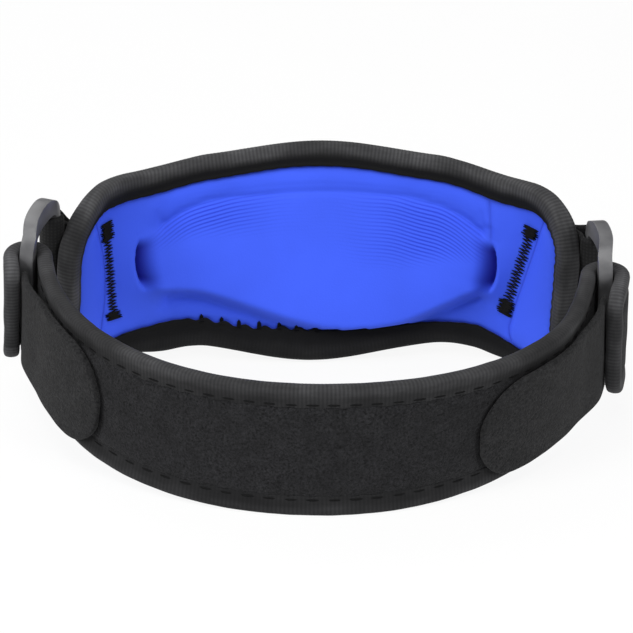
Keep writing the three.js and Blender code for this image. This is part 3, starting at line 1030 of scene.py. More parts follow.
@dataclass(frozen=True)
class StrapForm:
    """The strap's run: half an ellipse in plan, then round a ring's bar and back outside."""

    centre_y: float = 16.0
    depth: float = 64.2
    front_middle_height: float = 17.3
    front_half_width: float = 17.7
    end_half_width: float = 15.8
    lean_over: float = 50.0
    straightens_from: float = 55.0
    straightens_over: float = 25.0
    fold_radius: float = 4.4
    corner_radius: float = 6.0
    angle_step: float = 0.5
    fold_steps: int = 28

    def centre(self, angle: Array) -> Array:
        """Middle line of the inner run at angles from its front."""
        turn = np.radians(angle)
        span = sided(angle, "half_span")
        climb = sided(angle, "rise") * (1.0 - np.cos(turn)) ** sided(angle, "rise_curve")
        height = self.front_middle_height + climb
        return np.stack([span * np.sin(turn), self.centre_y - self.depth * np.cos(turn), height], -1)

    def frame(self, angle: Array) -> tuple[Array, Array, Array, Array]:
        """Directions of the inner run.

        Args:
            angle: angles from the front of the strap.

        Returns:
            The centre and the directions along, out of and across the strap at each angle.
        """
        near = self.angle_step / 10.0
        along = unit(self.centre(angle + near) - self.centre(angle - near))
        level = unit(np.stack([along[..., 1], -along[..., 0], np.zeros_like(angle)], -1))
        run = np.abs(angle)
        leaning = sided(angle, "lean") * smooth(run / self.lean_over)
        straight = ramp(run, self.straightens_from, self.straightens_over)
        lean = np.radians(mix(leaning, sided(angle, "end_lean"), straight))[..., None]
        outward = level * np.cos(lean) + np.cross(along, level) * np.sin(lean)
        return self.centre(angle), along, outward, unit(np.cross(outward, along))

    def half_width(self, angle: Array) -> Array:
        """Half of the strap's width at angles from its front."""
        share = np.minimum(1.0, 1.0 - np.cos(np.radians(angle)))
        return mix(self.front_half_width, self.end_half_width, share)

    def bar(self, side: Side) -> tuple[Array, Array, Array, Array, Array]:
        """The ring's bar that the strap turns round.

        Args:
            side: which ring.

        Returns:
            The bar's centre, and the directions outward, rearward, across and to the other bar.
        """
        sizes = side.value
        centre, along, outward, across = self.frame(np.array(sizes.sign * sizes.ring_angle))
        rearward = along * sizes.sign
        turn = math.radians(sizes.ring_turn_in)
        to_webbing = rearward * math.cos(turn) - outward * math.sin(turn)
        return centre + outward * self.fold_radius, outward, rearward, across, to_webbing

    def fold(self, side: Side) -> tuple[Array, Array, Array]:
        """Stations of one end, from the inner run round the bar to the folded-back end.

        Args:
            side: which end.

        Returns:
            The centre, the direction across and the half width at each station.
        """
        sizes = side.value
        bar, outward, rearward, bar_across, _ = self.bar(side)
        turn = (math.pi * np.arange(1, self.fold_steps + 1) / self.fold_steps)[:, None]
        bend = bar - outward * self.fold_radius * np.cos(turn) + rearward * self.fold_radius * np.sin(turn)
        span = sizes.ring_angle - sizes.end_angle
        share = np.arange(1, int(span / self.angle_step) + 1) / int(span / self.angle_step)
        centre, _, face, across = self.frame(sizes.sign * (sizes.ring_angle - span * share))
        offset = mix(2.0 * self.fold_radius, sizes.end_offset, smooth(share))[:, None]
        centres = np.concatenate([bend, centre + face * offset])
        acrosses = np.concatenate([np.tile(bar_across, (self.fold_steps, 1)), across])
        widths = np.full(len(centres), float(self.half_width(np.array(sizes.ring_angle))))
        return centres, acrosses, widths

    def ribbon(self) -> Ribbon:
        """The whole strap from its left end to its right end."""
        angle = np.arange(-Side.LEFT.value.ring_angle, Side.RIGHT.value.ring_angle + 0.01, self.angle_step)
        centre, _, _, across = self.frame(angle)
        left, right = self.fold(Side.LEFT), self.fold(Side.RIGHT)
        inner = (centre, across, self.half_width(angle))
        return Ribbon(*[np.concatenate([a[::-1], b, c]) for a, b, c in zip(left, inner, right)])


PAD_FORM = PadForm()
FOAM_LENS = FoamLens()
STRAP_FORM = StrapForm()
STRAP_RIBBON = STRAP_FORM.ribbon()


@dataclass(frozen=True)
class EdgeTape:
    """A ribbed tape folded over an edge and sewn down on both faces."""

    width: float
    end_width: float
    half_thickness: float
    channel: float
    channel_start: float = 0.16
    rib_pitch: float = 1.0
    rib_depth: float = 0.03
    ribs_shown: float = 0.75
    ribs_uneven: float = 0.3
    ribs_uneven_pitch: float = 41.0
    plump: float = 0.05
    plump_pitch: float = 13.0
    seam_fade: float = 0.12
    fold_height: float = 0.3
    rim_step: float = 0.25
    rim_reach: int = 5
    # The painted highlight on the rib crests fades towards the sewn edges, leaving them painted darker; at
    # the ends it fades later.
    highlight_at_seam: float = 0.0
    highlight_fades_from: float = 0.25
    highlight_fades_from_at_ends: float = 0.7
    highlight_fades_over: float = 0.4
    profile: Table = (
        (0.0, 0.0), (0.012, 0.34), (0.04, 0.63), (0.09, 0.82), (0.17, 0.94), (0.28, 0.99), (0.42, 1.0),
        (0.56, 0.99), (0.68, 0.96), (0.77, 0.9), (0.83, 0.86), (0.89, 0.88), (0.96, 0.88), (0.99, 0.84),
        (1.0, 0.78),
    )

    def rim(self, outline: Array) -> tuple[Array, Array, Array]:
        """Even steps round a closed flat outline.

        Args:
            outline: corners of the outline, low edge first, then back along the high edge.

        Returns:
            The places on the rim, the directions into the cloth and the lengths round the rim.
        """
        closed = np.vstack([outline, outline[:1]])
        gone = np.concatenate([[0.0], np.cumsum(np.linalg.norm(np.diff(closed, axis=0), axis=1))])
        count = int(round(gone[-1] / self.rim_step))
        at = np.arange(count) * gone[-1] / count
        places = np.stack([np.interp(at, gone, closed[:, k]) for k in range(2)], -1)
        ahead = np.roll(places, -self.rim_reach, 0) - np.roll(places, self.rim_reach, 0)
        return places, unit(np.stack([-ahead[:, 1], ahead[:, 0]], -1)), at

    def cover(self, places: Array, inward: Array, wave: RimValue) -> Array:
        """How far the tape reaches over the cloth at places on the rim."""
        return mix(self.width, self.end_width, np.abs(inward[:, 0])) + wave(places[:, 0], places[:, 1])

    def section(self) -> tuple[Array, Array, Array]:
        """The folded section of the tape, from one sewn edge round the fold to the other.

        Returns:
            For each corner the share of the reach over the cloth, the height and the direction outwards.
        """
        share, height = np.array(self.profile).T
        share = np.concatenate([share[::-1], share[1:]])
        height = np.concatenate([-height[::-1], height[1:]]) * self.half_thickness
        normal = unit(np.stack([np.gradient(height), -np.gradient(share * self.width)], -1))
        on_fold = np.abs(height) < self.fold_height
        normal *= np.sign(normal[:, 1] * height + 1e-9 - on_fold * normal[:, 0])[:, None]
        return share, height, normal

    def build(
        self, name: str, outline: Array, point: PointAt, wave: RimValue, ribbed: RimValue
    ) -> Piece:
        """Carries the folded section round the outline, with its ribs.

        Args:
            name: name of the piece.
            outline: flat outline of the cloth.
            point: bends a flat place into the drawing frame.
            wave: how much further the tape covers the cloth at a place on the rim.
            ribbed: how far the ribs stand open at a place on the rim, from 0 to 1; it sets their depth and
                how much painted highlight their crests get.

        Returns:
            The new piece.
        """
        places, inward, at = self.rim(outline)
        share, height, normal = self.section()
        inner_share = np.array([1.0, self.channel_start, self.channel_start, 1.0])
        inner_height = np.array([1.0, 1.0, -1.0, -1.0]) * self.channel
        cover = self.cover(places, inward, wave)
        uneven = self.ribs_shown + self.ribs_uneven * ripple(at, self.ribs_uneven_pitch, 1.0)
        shown = np.clip(ribbed(places[:, 0], places[:, 1]) * uneven, 0.0, 1.0)
        rib = self.rib_depth * shown * (0.5 * np.cos(TURN * at / self.rib_pitch) - 0.5)
        plump = 1.0 + self.plump * ripple(at, self.plump_pitch, 0.4)
        raised = rib[:, None] * np.clip((1.0 - share) / self.seam_fade, 0.0, 1.0)
        inset = cover[:, None] * share + raised * normal[:, 0]
        out = plump[:, None] * height + raised * normal[:, 1]
        inset = np.concatenate([inset, cover[:, None] * inner_share], 1)
        out = np.concatenate([out, np.tile(inner_height, (len(at), 1))], 1)
        flat = places[:, None, :] + inward[:, None, :] * inset[..., None]
        points = point(flat[..., 0].ravel(), flat[..., 1].ravel(), out.ravel())
        points[:, 2] = np.maximum(points[:, 2], 0.0)
        girth = np.concatenate([[0.0], np.cumsum(np.hypot(np.diff(inset[0]), np.diff(out[0])))])
        cut = np.stack(np.broadcast_arrays(at[:, None], girth[None, :]), -1).reshape(-1, 2)
        faces = grid_faces(len(at), inset.shape[1], round_rows=True, round_columns=True)
        piece = new_piece(name, points, faces, cut)
        # Painted highlight on the rib crests, fading towards the sewn edges; the finish reads it as ribbed.
        start = mix(self.highlight_fades_from, self.highlight_fades_from_at_ends, np.abs(inward[:, :1]))
        past = smooth((np.concatenate([share, inner_share]) - start) / self.highlight_fades_over)
        carry(piece, "ribbed", shown[:, None] * mix(1.0, self.highlight_at_seam, past))
        return piece


def outline_of(along: Array, low: Array, high: Array) -> Array:
    """Flat outline of a cloth: its low edge from left to right, then its high edge back."""
    return np.concatenate([np.stack([along, low], -1), np.stack([along, high], -1)[::-1]])


# The strap's tape lies almost flush with the pile where it ends.
FLUSH_TAPE: Table = (
    (0.0, 0.0), (0.012, 0.34), (0.04, 0.63), (0.09, 0.82), (0.17, 0.94), (0.28, 0.98), (0.42, 0.95),
    (0.56, 0.9), (0.68, 0.85), (0.77, 0.81), (0.83, 0.79), (0.89, 0.77), (0.96, 0.75), (0.99, 0.73),
    (1.0, 0.7),
)


# Pieces


@dataclass(frozen=True)
class Tack:
    """A zigzag bar tack through lining, pad and webbing, dense at both ends, with a fold beside it."""

    top: Pair
    bottom: Pair
    width: float
    zigzags: int
    top_block: float
    bottom_block: float
    block_width: float
    fold: Table
    radius: float = 0.17
    stands: float = 0.12
    block_radius: float = 0.27
    block_stands: float = 0.3
    block_pitch: float = 0.3
    fold_ease: float = 1.5
    uneven_swing: float = 0.12
    uneven_step: float = 0.08
    arch: float = 0.12
    steps: int = 5

    def run(self) -> tuple[Array, Array, float]:
        """Start, direction and length of the tack's line."""
        start, end = np.array(self.top), np.array(self.bottom)
        length = float(np.linalg.norm(end - start))
        return start, (end - start) / length, length

    def distance(self, along: Array, up: Array) -> Array:
        """How far places on the pad lie from the tack's line."""
        start, ahead, length = self.run()
        x, y = along - start[0], up - start[1]
        gone = x * ahead[0] + y * ahead[1]
        past = np.maximum(0.0, np.maximum(-gone, gone - length))
        return np.hypot(x * ahead[1] - y * ahead[0], past)

    def beyond(self, along: Array, up: Array) -> Array:
        """How far places on the pad lie past the fold, towards the pad's end."""
        return (along - drawn(self.fold, up, self.fold_ease)) * np.sign(self.top[0])

    def lines(self) -> list[tuple[Array, Array, float]]:
        """Flat runs of the thread: the top block, the zigzag and the bottom block.

        Returns:
            For each run the places it passes, how much it stands up on the cloth, and its half thickness.
        """
        start, ahead, length = self.run()
        aside = np.array([-ahead[1], ahead[0]])
        upper = np.arange(0.0, self.top_block, self.block_pitch)
        lower = length - np.arange(0.0, self.bottom_block, self.block_pitch)[::-1]
        between = np.linspace(upper[-1], lower[0], 2 * self.zigzags + 2)
        blocked = (self.block_width, self.block_radius, self.block_stands)
        runs = ((upper, *blocked), (between, self.width, self.radius, self.stands), (lower, *blocked))
        made = []
        for gone, width, radius, stands in runs:
            count = np.arange(len(gone))
            to_and_fro = np.where(count % 2 == 0, 1.0, -1.0)
            swing = width / 2.0 * (1.0 + self.uneven_swing * np.sin(count * 2.3)) * to_and_fro
            reached = (gone + self.uneven_step * np.sin(count * 1.7))[:, None]
            knots = start + ahead * reached + aside * swing[:, None]
            fine = np.linspace(0.0, len(knots) - 1.0, self.steps * (len(knots) - 1) + 1)
            places = np.stack([np.interp(fine, count, knots[:, k]) for k in range(2)], -1)
            made.append((places, stands + self.arch * np.abs(np.sin(fine * math.pi)), radius))
        return made

    def sew(self, name: str, point: PointAt) -> Piece:
        """Sews the tack's thread.

        Args:
            name: name of the piece.
            point: puts a place along, up and above the cloth into the drawing frame.

        Returns:
            The new piece.
        """
        runs = self.lines()
        lines = [point(flat[:, 0], flat[:, 1], lift) for flat, lift, _ in runs]
        return settle(threads(name, lines, [radius for _, _, radius in runs]), THREAD)


TACKS = {
    Side.LEFT: Tack(
        (-60.4, 15.4), (-59.2, -13.2), 2.6, 22, 5.2, 2.4, 4.0,
        ((-19.0, -64.6), (-16.0, -63.0), (-7.0, -61.6), (0.2, -61.3), (7.8, -62.1), (16.5, -64.6)),
    ),
    Side.RIGHT: Tack(
        (58.2, 13.4), (50.8, -13.2), 3.2, 20, 3.2, 4.2, 4.4,
        ((-25.0, 57.5), (-21.0, 53.6), (-17.5, 52.4), (-8.5, 54.6), (2.0, 57.8), (13.5, 61.2), (18.0, 62.6)),
    ),
}


@dataclass(frozen=True)
class PadSeam:
    """How the sewn edge of the pad's tape lies: wider along the bottom, puckered by knots low on the left."""

    low_below: Pair = (-6.0, -8.0)
    low_ends: Pair = (74.0, -8.0)
    cover_ease: float = 4.0
    pucker: float = 0.45
    pucker_starts: Pair = (-40.0, 6.0)
    pucker_ends: Pair = (4.0, -6.0)
    end_wave: float = 0.16
    end_starts: Pair = (64.0, 4.0)
    end_pitch: float = 2.6
    waver: float = 0.05
    waver_pitch: float = 4.3
    knot_start: float = -33.2
    knot_step: float = 5.25
    knot_count: int = 7
    knot_waver: float = 0.3
    knot_radius: float = 0.24
    strand_asides: tuple[float, float, float] = (-0.45, 0.0, 0.45)
    strand_points: int = 9
    strand_below: float = 1.3
    strand_above: float = 0.8
    strand_loss: float = 0.7
    strand_narrows: float = 0.5
    strand_lift: float = 0.2
    strand_on_tape: float = 0.86
    strand_leaves: float = 0.7
    bottom_cover: Table = (
        (-72.0, -1.6), (-64.0, -2.6), (-56.0, -0.4), (-46.0, 2.2), (-37.0, 1.3), (-29.0, 0.9), (-21.0, 0.9),
        (-13.0, 2.4), (-5.0, 2.3), (3.0, 2.0), (11.0, 1.4), (19.0, 0.5), (27.0, 0.0), (35.0, -0.7),
        (44.0, 0.4), (53.0, -1.2), (64.0, -4.4), (72.0, -2.4),
    )

    def wave(self, along: Array, up: Array) -> Array:
        """How much further than its own width the tape covers the lining at places on the rim."""
        low = ramp(up, *self.low_below) * ramp(np.abs(along), *self.low_ends)
        puckered = low * ramp(along, *self.pucker_starts) * ramp(along, *self.pucker_ends)
        pucker = self.pucker * puckered * np.cos(TURN * (along - self.knot_start) / self.knot_step)
        end = self.end_wave * ramp(along, *self.end_starts) * np.sin(TURN * up / self.end_pitch)
        even = self.waver * np.sin(TURN * (along + up) / self.waver_pitch)
        return drawn(self.bottom_cover, along, self.cover_ease) * low + pucker + end + even

    def knot_places(self) -> list[float]:
        """Places of the knots along the pad."""
        turns = [self.knot_waver * math.sin(2.1 * number) for number in range(self.knot_count)]
        return [self.knot_start + self.knot_step * number + turn for number, turn in enumerate(turns)]


@dataclass(frozen=True)
class Pocket:
    """A pocket at one end of the foam, open towards the pad's end, where the knit sinks in and is painted
    with shade.
    """

    foot: float
    middle: float
    way: float
    depth: float = 1.7
    foam_share: float = 0.5
    half_height: float = 7.6
    fade: float = 0.5
    bend: float = 0.035
    lip: float = 1.1
    nose: float = 3.0
    # How far the pocket's painted shade reaches from its foot.
    painted_shade_lip: float = 0.7
    painted_shade_from: float = 0.5
    painted_shade_over: float = 7.0
    painted_shade_curve: float = 1.4
    held_from: float = -0.8
    held_to: float = 4.0

    def inward(self, along: Array, up: Array) -> Array:
        """How far places on the pad lie from the pocket's foot, towards the foam."""
        return (self.foot - self.way * self.bend * (up - self.middle) ** 2 - along) * self.way

    def tall(self, up: Array) -> Array:
        """Share of the pocket that is left at heights above and below its middle."""
        return smooth((1.0 - np.abs(up - self.middle) / self.half_height) / self.fade)

    def sink(self, along: Array, up: Array, height: Array) -> Array:
        """How far the pocket takes the knit in at places on the pad, given its height without the pocket."""
        inward = self.inward(along, up)
        outside = smooth((inward + self.lip) / self.lip)
        nose = np.exp(-np.maximum(inward, 0.0) / self.nose)
        return (self.depth + np.maximum(height, 0.0) * self.foam_share) * self.tall(up) * outside * nose

    def painted_crease_shade(self, along: Array, up: Array) -> Array:
        """How much painted shade the pocket puts on the knit at places on the pad, from 0 to 1."""
        inward = self.inward(along, up)
        lip = smooth((inward + self.painted_shade_lip) / self.painted_shade_lip)
        fading = 1.0 - smooth((inward - self.painted_shade_from) / self.painted_shade_over)
        return lip * fading**self.painted_shade_curve * self.tall(up)

    def holds(self, along: Array, up: Array) -> Array:
        """Whether the pocket holds the knit at places on the pad."""
        inward = self.inward(along, up)
        return (self.tall(up) > 0.0) & (inward > self.held_from) & (inward < self.held_to)


@dataclass(frozen=True)
class Crease:
    """A short crease down from the pad's top edge, beside the right end of the foam."""

    line: Table = ((5.0, 46.0), (11.0, 45.6), (19.0, 44.6))
    ease: float = 1.0
    depth: float = 0.32
    reach: float = 0.7
    # Painted shade along the crease line, and how far it reaches.
    crease_shade: float = 0.3
    crease_shade_reach: float = 0.5
    starts: Pair = (5.0, 3.0)
    seam_ease: float = 2.0

    def share(self, along: Array, up: Array, reach: float) -> Array:
        """How much of the crease shows at places on the pad, within a reach of its line."""
        return bump_at(along, drawn(self.line, up, self.ease), reach) * ramp(up, *self.starts)


@dataclass(frozen=True)
class KnitRibs:
    """Rows of ribs on the foam's upper slope; the knit is stretched on both sides of the middle."""

    pitch: float = 1.0
    waver: float = 0.12
    waver_turn: float = 0.45
    top_margin: float = 1.0
    top_ease: float = 0.12
    end_at_left: float = 0.46
    end_at_right: float = 0.64
    end_ease: float = 0.22
    right_half: Pair = (-8.0, 16.0)
    lens_starts: Pair = (-49.0, 6.0)
    lens_ends: Pair = (46.0, -4.0)
    stretched: Table = ((-31.0, 14.0), (29.0, 15.0))

    def row(self, along: Array, up: Array) -> Array:
        """Number of the rib that passes a place on the pad, counted down from the foam's top line."""
        top = drawn(FOAM_LENS.top, along, FOAM_LENS.ease)
        return (top - up + self.waver * np.sin(along * self.waver_turn)) / self.pitch

    def stretch(self, along: Array, up: Array) -> Array:
        """How far the knit is stretched at places on the pad, from 0 to 1."""
        start = drawn(FOAM_LENS.top, along, FOAM_LENS.ease) + self.top_margin
        share = (start - up) / (start - drawn(FOAM_LENS.ridge, along, FOAM_LENS.ease))
        end = mix(self.end_at_left, self.end_at_right, ramp(along, *self.right_half))
        on_lens = ramp(along, *self.lens_starts) * ramp(along, *self.lens_ends)
        on_slope = smooth(share / self.top_ease) * smooth((end - share) / self.end_ease)
        bells = sum(bump_at(along, place, reach) for place, reach in self.stretched)
        return np.clip(on_slope * on_lens * bells, 0.0, 1.0)


@dataclass(frozen=True)
class TightKnit:
    """How the knit is drawn tight over the foam between its seams, tacks and folds."""

    pulls: int = 1400
    swell: float = 0.0016
    swells: Pair = (46.0, 4.0)
    laminate: float = 0.25
    groove_depth: float = 0.9
    groove_above: float = 0.5
    groove_reach: float = 3.0
    free: Pair = (43.0, 5.0)
    free_rise: float = 9.0
    foam_least: float = 0.03
    slack: float = -0.4
    seam_reach: float = 0.5
    flap_puff: float = 1.1
    flap_ease: float = 1.7
    flap_seam_ease: float = 2.5
    tack_reach: float = 1.2
    tack_height: float = -0.1
    fold_reach: float = 0.4
    fold_height: float = -0.3
    relaxings: int = 2

    @staticmethod
    def around(height: Array) -> Array:
        """Mean of the four neighbours of each place on a grid whose border is held."""
        beside = np.roll(height, 1, 0) + np.roll(height, -1, 0)
        return (beside + np.roll(height, 1, 1) + np.roll(height, -1, 1)) / 4.0

    def height(self, along: Array, up: Array, inside: Array) -> Array:
        """Height of the knit over the flat pad.

        Args:
            along: places along the pad, as a grid.
            up: heights across the pad, as a grid.
            inside: how far the places lie inside the tape's sewn edge.

        Returns:
            The height at each place.
        """
        lens = FOAM_LENS.height(along, up)
        beside = ramp(np.abs(along), *self.free)
        groove_line = drawn(FOAM_LENS.top, along, FOAM_LENS.ease) + self.groove_above
        groove = bump_at(up, groove_line, self.groove_reach) * (1.0 - beside)
        roof = np.maximum(lens, 0.0) + self.laminate - self.groove_depth * groove + self.free_rise * beside
        floor = np.minimum(np.where(lens > self.foam_least, lens, self.slack), roof)
        held = np.where(inside < self.seam_reach, 0.0, np.nan)
        for tack in TACKS.values():
            beyond = tack.beyond(along, up)
            flap = self.flap_puff * smooth(beyond / self.flap_ease) * smooth(inside / self.flap_seam_ease)
            floor = np.where(beyond > 0.0, np.maximum(floor, flap), floor)
            free = inside > self.seam_reach
            held[free & (tack.distance(along, up) < self.tack_reach)] = self.tack_height
            held[free & (np.abs(beyond) < self.fold_reach)] = self.fold_height
        fixed = ~np.isnan(held)
        height = np.where(fixed, held, floor)
        swell = self.swell * ramp(np.abs(along), *self.swells)
        for _ in range(self.pulls):
            drawn_in = np.clip(self.around(height) + swell, floor, roof)
            height = np.where(fixed, held, drawn_in)
        for _ in range(self.relaxings):
            height = mix(height, self.around(height), 0.5)
        return height


@dataclass(frozen=True)
class KnitCloth:
    """The cloth simulation that lets the knit settle, pushed out a little by the wadding behind it."""

    columns: int = 108
    rows: int = 38
    scale: float = 0.01
    frames: int = 20
    pressure: float = 4.0
    least: float = -0.3
    most: float = 1.0
    foam_height: float = 0.1
    foam_hold: float = 0.8
    seam_reach: float = 0.8
    tack_lead: float = 0.8
    fold_reach: float = 0.7

    def settle(self, places: Array, hold: Array) -> Array:
        """Runs the cloth from its drawn shape.

        Args:
            places: places along, up and out of the flat pad, as a grid of columns.
            hold: how firmly each place is held, from 0 to 1.

        Returns:
            How far each place moves out, in millimetres.
        """
        mesh = bpy.data.meshes.new("knit_cloth")
        faces = grid_faces(self.columns, self.rows).tolist()
        mesh.from_pydata((places.reshape(-1, 3) * self.scale).tolist(), [], faces)
        cloth = bpy.data.objects.new("knit_cloth", mesh)
        bpy.context.scene.collection.objects.link(cloth)
        sewn = cloth.vertex_groups.new(name="sewn")
        for number, weight in enumerate(hold.ravel()):
            sewn.add([number], float(weight), "REPLACE")
        knit = cloth.modifiers.new("knit", "CLOTH")
        knit.settings.vertex_group_mass = "sewn"
        knit.settings.use_pressure = True
        knit.settings.uniform_pressure_force = self.pressure
        knit.settings.effector_weights.gravity = 0.0
        knit.collision_settings.use_collision = False
        knit.point_cache.frame_end = self.frames
        for frame in range(1, self.frames + 1):
            bpy.context.scene.frame_set(frame)
        settled = cloth.evaluated_get(bpy.context.evaluated_depsgraph_get()).to_mesh()
        corners = np.zeros(len(settled.vertices) * 3, np.float32)
        settled.vertices.foreach_get("co", corners)
        bpy.context.scene.frame_set(1)
        bpy.data.objects.remove(cloth)
        raw = corners.reshape(places.shape)[..., 2] / self.scale - places[..., 2]
        moved = np.clip(raw, self.least, self.most)
        LOG.info("cloth moved %.2f to %.2f mm, kept %.2f mm on average", raw.min(), raw.max(), moved.mean())
        return moved


@dataclass
class Pad:
    """The padded panel with its lining, edge tape, tacks and the knots of its lower seam."""

    outer_face: float = 1.6
    crown: float = 0.55
    crown_rises: Pair = (4.0, 9.0)
    crown_starts: Pair = (4.0, 4.0)
    crown_uneven: float = 0.12
    crown_pitch: float = 21.0
    lining_face: float = 1.25
    lining_thickness: float = 0.6
    foam_gap: float = 0.45
    edge_margin: float = 1.0
    columns: int = 320
    rows: int = 110
    outline_columns: int = 900
    # Painted shade along the tape's sewn edge and along the folds beside the tacks.
    seam_painted_shade: float = 0.5
    seam_painted_shade_reach: float = 0.6
    fold_painted_shade: float = 0.45
    fold_painted_shade_reach: float = 0.45
    ribs_low: float = 0.15
    ribs_open: Pair = (-16.0, 12.0)
    tape: EdgeTape = EdgeTape(6.7, 5.0, 2.9, 1.75)
    seam: PadSeam = PadSeam()
    knit: TightKnit = TightKnit()
    cloth: KnitCloth = KnitCloth()
    ribs: KnitRibs = KnitRibs()
    crease: Crease = Crease()
    pockets: tuple[Pocket, Pocket] = (Pocket(-51.8, 1.2, -1.0), Pocket(47.8, -0.5, 1.0))

    def outline(self) -> Array:
        """Flat outline of the pad."""
        return outline_of(*PAD_FORM.columns(0.0, self.outline_columns))

    def sewn_distance(self, along: Array, up: Array) -> Array:
        """How far places on the pad lie inside the tape's sewn edge.

        Args:
            along: places along the pad.
            up: heights across the pad.

        Returns:
            The distance, negative under the tape.
        """
        places, inward, _ = self.tape.rim(self.outline())
        cover = self.tape.cover(places, inward, self.seam.wave)
        tree = kdtree.KDTree(len(places))
        for number, (x, y) in enumerate(places):
            tree.insert((x, y, 0.0), number)
        tree.balance()
        found = [tree.find((x, y, 0.0)) for x, y in zip(along.ravel(), up.ravel())]
        return np.array([distance - cover[number] for _, number, distance in found]).reshape(up.shape)

    def draw_tight(self, along: Array, up: Array) -> Array:
        """Height of the knit at a grid of places on the pad, with its pockets and its crease."""
        inside = self.sewn_distance(along, up)
        height = self.knit.height(along, up, inside)
        for pocket in self.pockets:
            height = height - pocket.sink(along, up, height)
        crease = self.crease.share(along, up, self.crease.reach)
        return height - self.crease.depth * crease * smooth(inside / self.crease.seam_ease)

    def painted_crease_shade(self, along: Array, up: Array) -> Array:
        """How much painted shade the knit gets at places on the pad: in the pockets, folds, crease and along
        the seam.
        """
        share = self.crease.crease_shade * self.crease.share(along, up, self.crease.crease_shade_reach)
        for tack in TACKS.values():
            fold = bump_at(tack.beyond(along, up), 0.0, self.fold_painted_shade_reach)
            share = np.maximum(share, self.fold_painted_shade * fold)
        for pocket in self.pockets:
            share = np.maximum(share, pocket.painted_crease_shade(along, up))
        seam = bump_at(self.sewn_distance(along, up), 0.0, self.seam_painted_shade_reach)
        return np.clip(np.maximum(share, self.seam_painted_shade * seam), 0.0, 1.0)

    def lay_lining(self) -> None:
        """Works out the lining's grid and heights, which all the pad's pieces follow."""
        self.along, self.low, self.high = PAD_FORM.columns(self.edge_margin, self.columns)
        share = np.linspace(0.0, 1.0, self.rows)
        self.up = self.low[:, None] + (self.high - self.low)[:, None] * share
        self.far = np.broadcast_to(self.along[:, None], self.up.shape)
        self.height = self.draw_tight(self.far, self.up)
        self.height = self.height + self.puff()

    def puff(self) -> Array:
        """How far each place of the lining's grid moves out when the knit settles as cloth."""
        across = np.linspace(0.0, self.columns - 1.0, self.cloth.columns).round().astype(int)
        upward = np.linspace(0.0, self.rows - 1.0, self.cloth.rows).round().astype(int)
        places = np.stack([self.far, self.up, self.height], -1)[np.ix_(across, upward)]
        moved = self.cloth.settle(places, self.sewn_share(places[..., 0], places[..., 1]))
        tall = np.stack([np.interp(np.arange(self.rows), upward, line) for line in moved])
        return np.stack([np.interp(np.arange(self.columns), across, line) for line in tall.T], -1)

    def sewn_share(self, along: Array, up: Array) -> Array:
        """How firmly the knit is held at places on the pad: 1 at a seam, less on the foam, else 0."""
        share = np.where(FOAM_LENS.height(along, up) > self.cloth.foam_height, self.cloth.foam_hold, 0.0)
        share = np.where(self.sewn_distance(along, up) < self.cloth.seam_reach, 1.0, share)
        for tack in TACKS.values():
            to_tack = tack.distance(along, up) - self.cloth.tack_lead
            near = np.minimum(to_tack, np.abs(tack.beyond(along, up)))
            share = np.where(near < self.cloth.fold_reach, 1.0, share)
        for pocket in self.pockets:
            share = np.where(pocket.holds(along, up), 1.0, share)
        return share

    def lining_out(self, along: Array, up: Array) -> Array:
        """Distance of the lining towards the arm at places between its grid's corners."""
        column = np.interp(along, self.along, np.arange(self.columns))
        low, high = PAD_FORM.edges(along, self.edge_margin)
        row = np.clip((up - low) / (high - low), 0.0, 1.0) * (self.rows - 1)
        i = np.minimum(column.astype(int), self.columns - 2)
        j = np.minimum(row.astype(int), self.rows - 2)
        x, y = column - i, row - j
        lower = mix(self.height[i, j], self.height[i + 1, j], x)
        upper = mix(self.height[i, j + 1], self.height[i + 1, j + 1], x)
        return self.lining_face + mix(lower, upper, y)

    def build_panel(self) -> Piece:
        """The foam panel with its lens, faced with black jersey on the outside."""
        far, up = self.far, self.up
        to_edge = edge_distance(self.along, self.low, self.high, up)
        uneven = self.crown_uneven * ripple(far + 0.7 * up, self.crown_pitch, 1.1)
        crown = self.crown * ramp(to_edge, *self.crown_rises) + uneven
        outer = self.outer_face + crown * ramp(to_edge, *self.crown_starts)
        inner = -(self.lining_face + self.height - self.foam_gap)
        piece = two_faced("pad_foam_panel", far, up, (outer, inner), PAD_FORM.point)
        settle(piece, FOAM, "pad_panel")
        return piece

    def build_lining(self) -> Piece:
        """The blue knit over the foam."""
        far, up = self.far.ravel(), self.up.ravel()
        points = PAD_FORM.point(far, up, -(self.lining_face + self.height.ravel()))
        faces = grid_faces(self.columns, self.rows)
        piece = new_piece("pad_knit_lining", points, faces, np.stack([far, up], -1))
        carry(piece, "stretch", self.ribs.stretch(far, up))
        # Painted shade in the pockets, folds, crease and along the seam.
        carry(piece, "painted_crease_shade", self.painted_crease_shade(far, up))
        carry(piece, "rib_row", self.ribs.row(far, up))
        thicken = piece.modifiers.new("knit", "SOLIDIFY")
        thicken.thickness = self.lining_thickness * MM
        thicken.offset = 0.0
        settle(piece, LINING, "pad_lining")
        area = float(np.trapz(self.high - self.low, self.along)) * MM * MM
        return piece

    def build_tape(self) -> Piece:
        """The ribbed tape round the pad's whole edge."""
        wave, ribbed = self.seam.wave, self.open_ribs
        piece = self.tape.build("pad_edge_tape", self.outline(), PAD_FORM.point, wave, ribbed)
        return settle(piece, BINDING, "pad_binding")

    def open_ribs(self, _along: Array, up: Array) -> Array:
        """How far the tape's ribs stand open and how much painted highlight their crests get: fully along the
        top and the ends, hardly along the bottom, which stays painted darker.
        """
        return mix(self.ribs_low, 1.0, ramp(up, *self.ribs_open))

    def on_lining(self, along: Array, up: Array, lift: Array) -> Array:
        """Place in the drawing frame of a thread that stands up on the lining."""
        out = -self.lining_out(along, up) - self.lining_thickness / 2.0 - lift
        return PAD_FORM.point(along, up, out)

    def build_tacks(self) -> list[Piece]:
        """The zigzag tacks where they show on the lining."""
        return [tack.sew(f"tack_thread_{side.label}", self.on_lining) for side, tack in TACKS.items()]

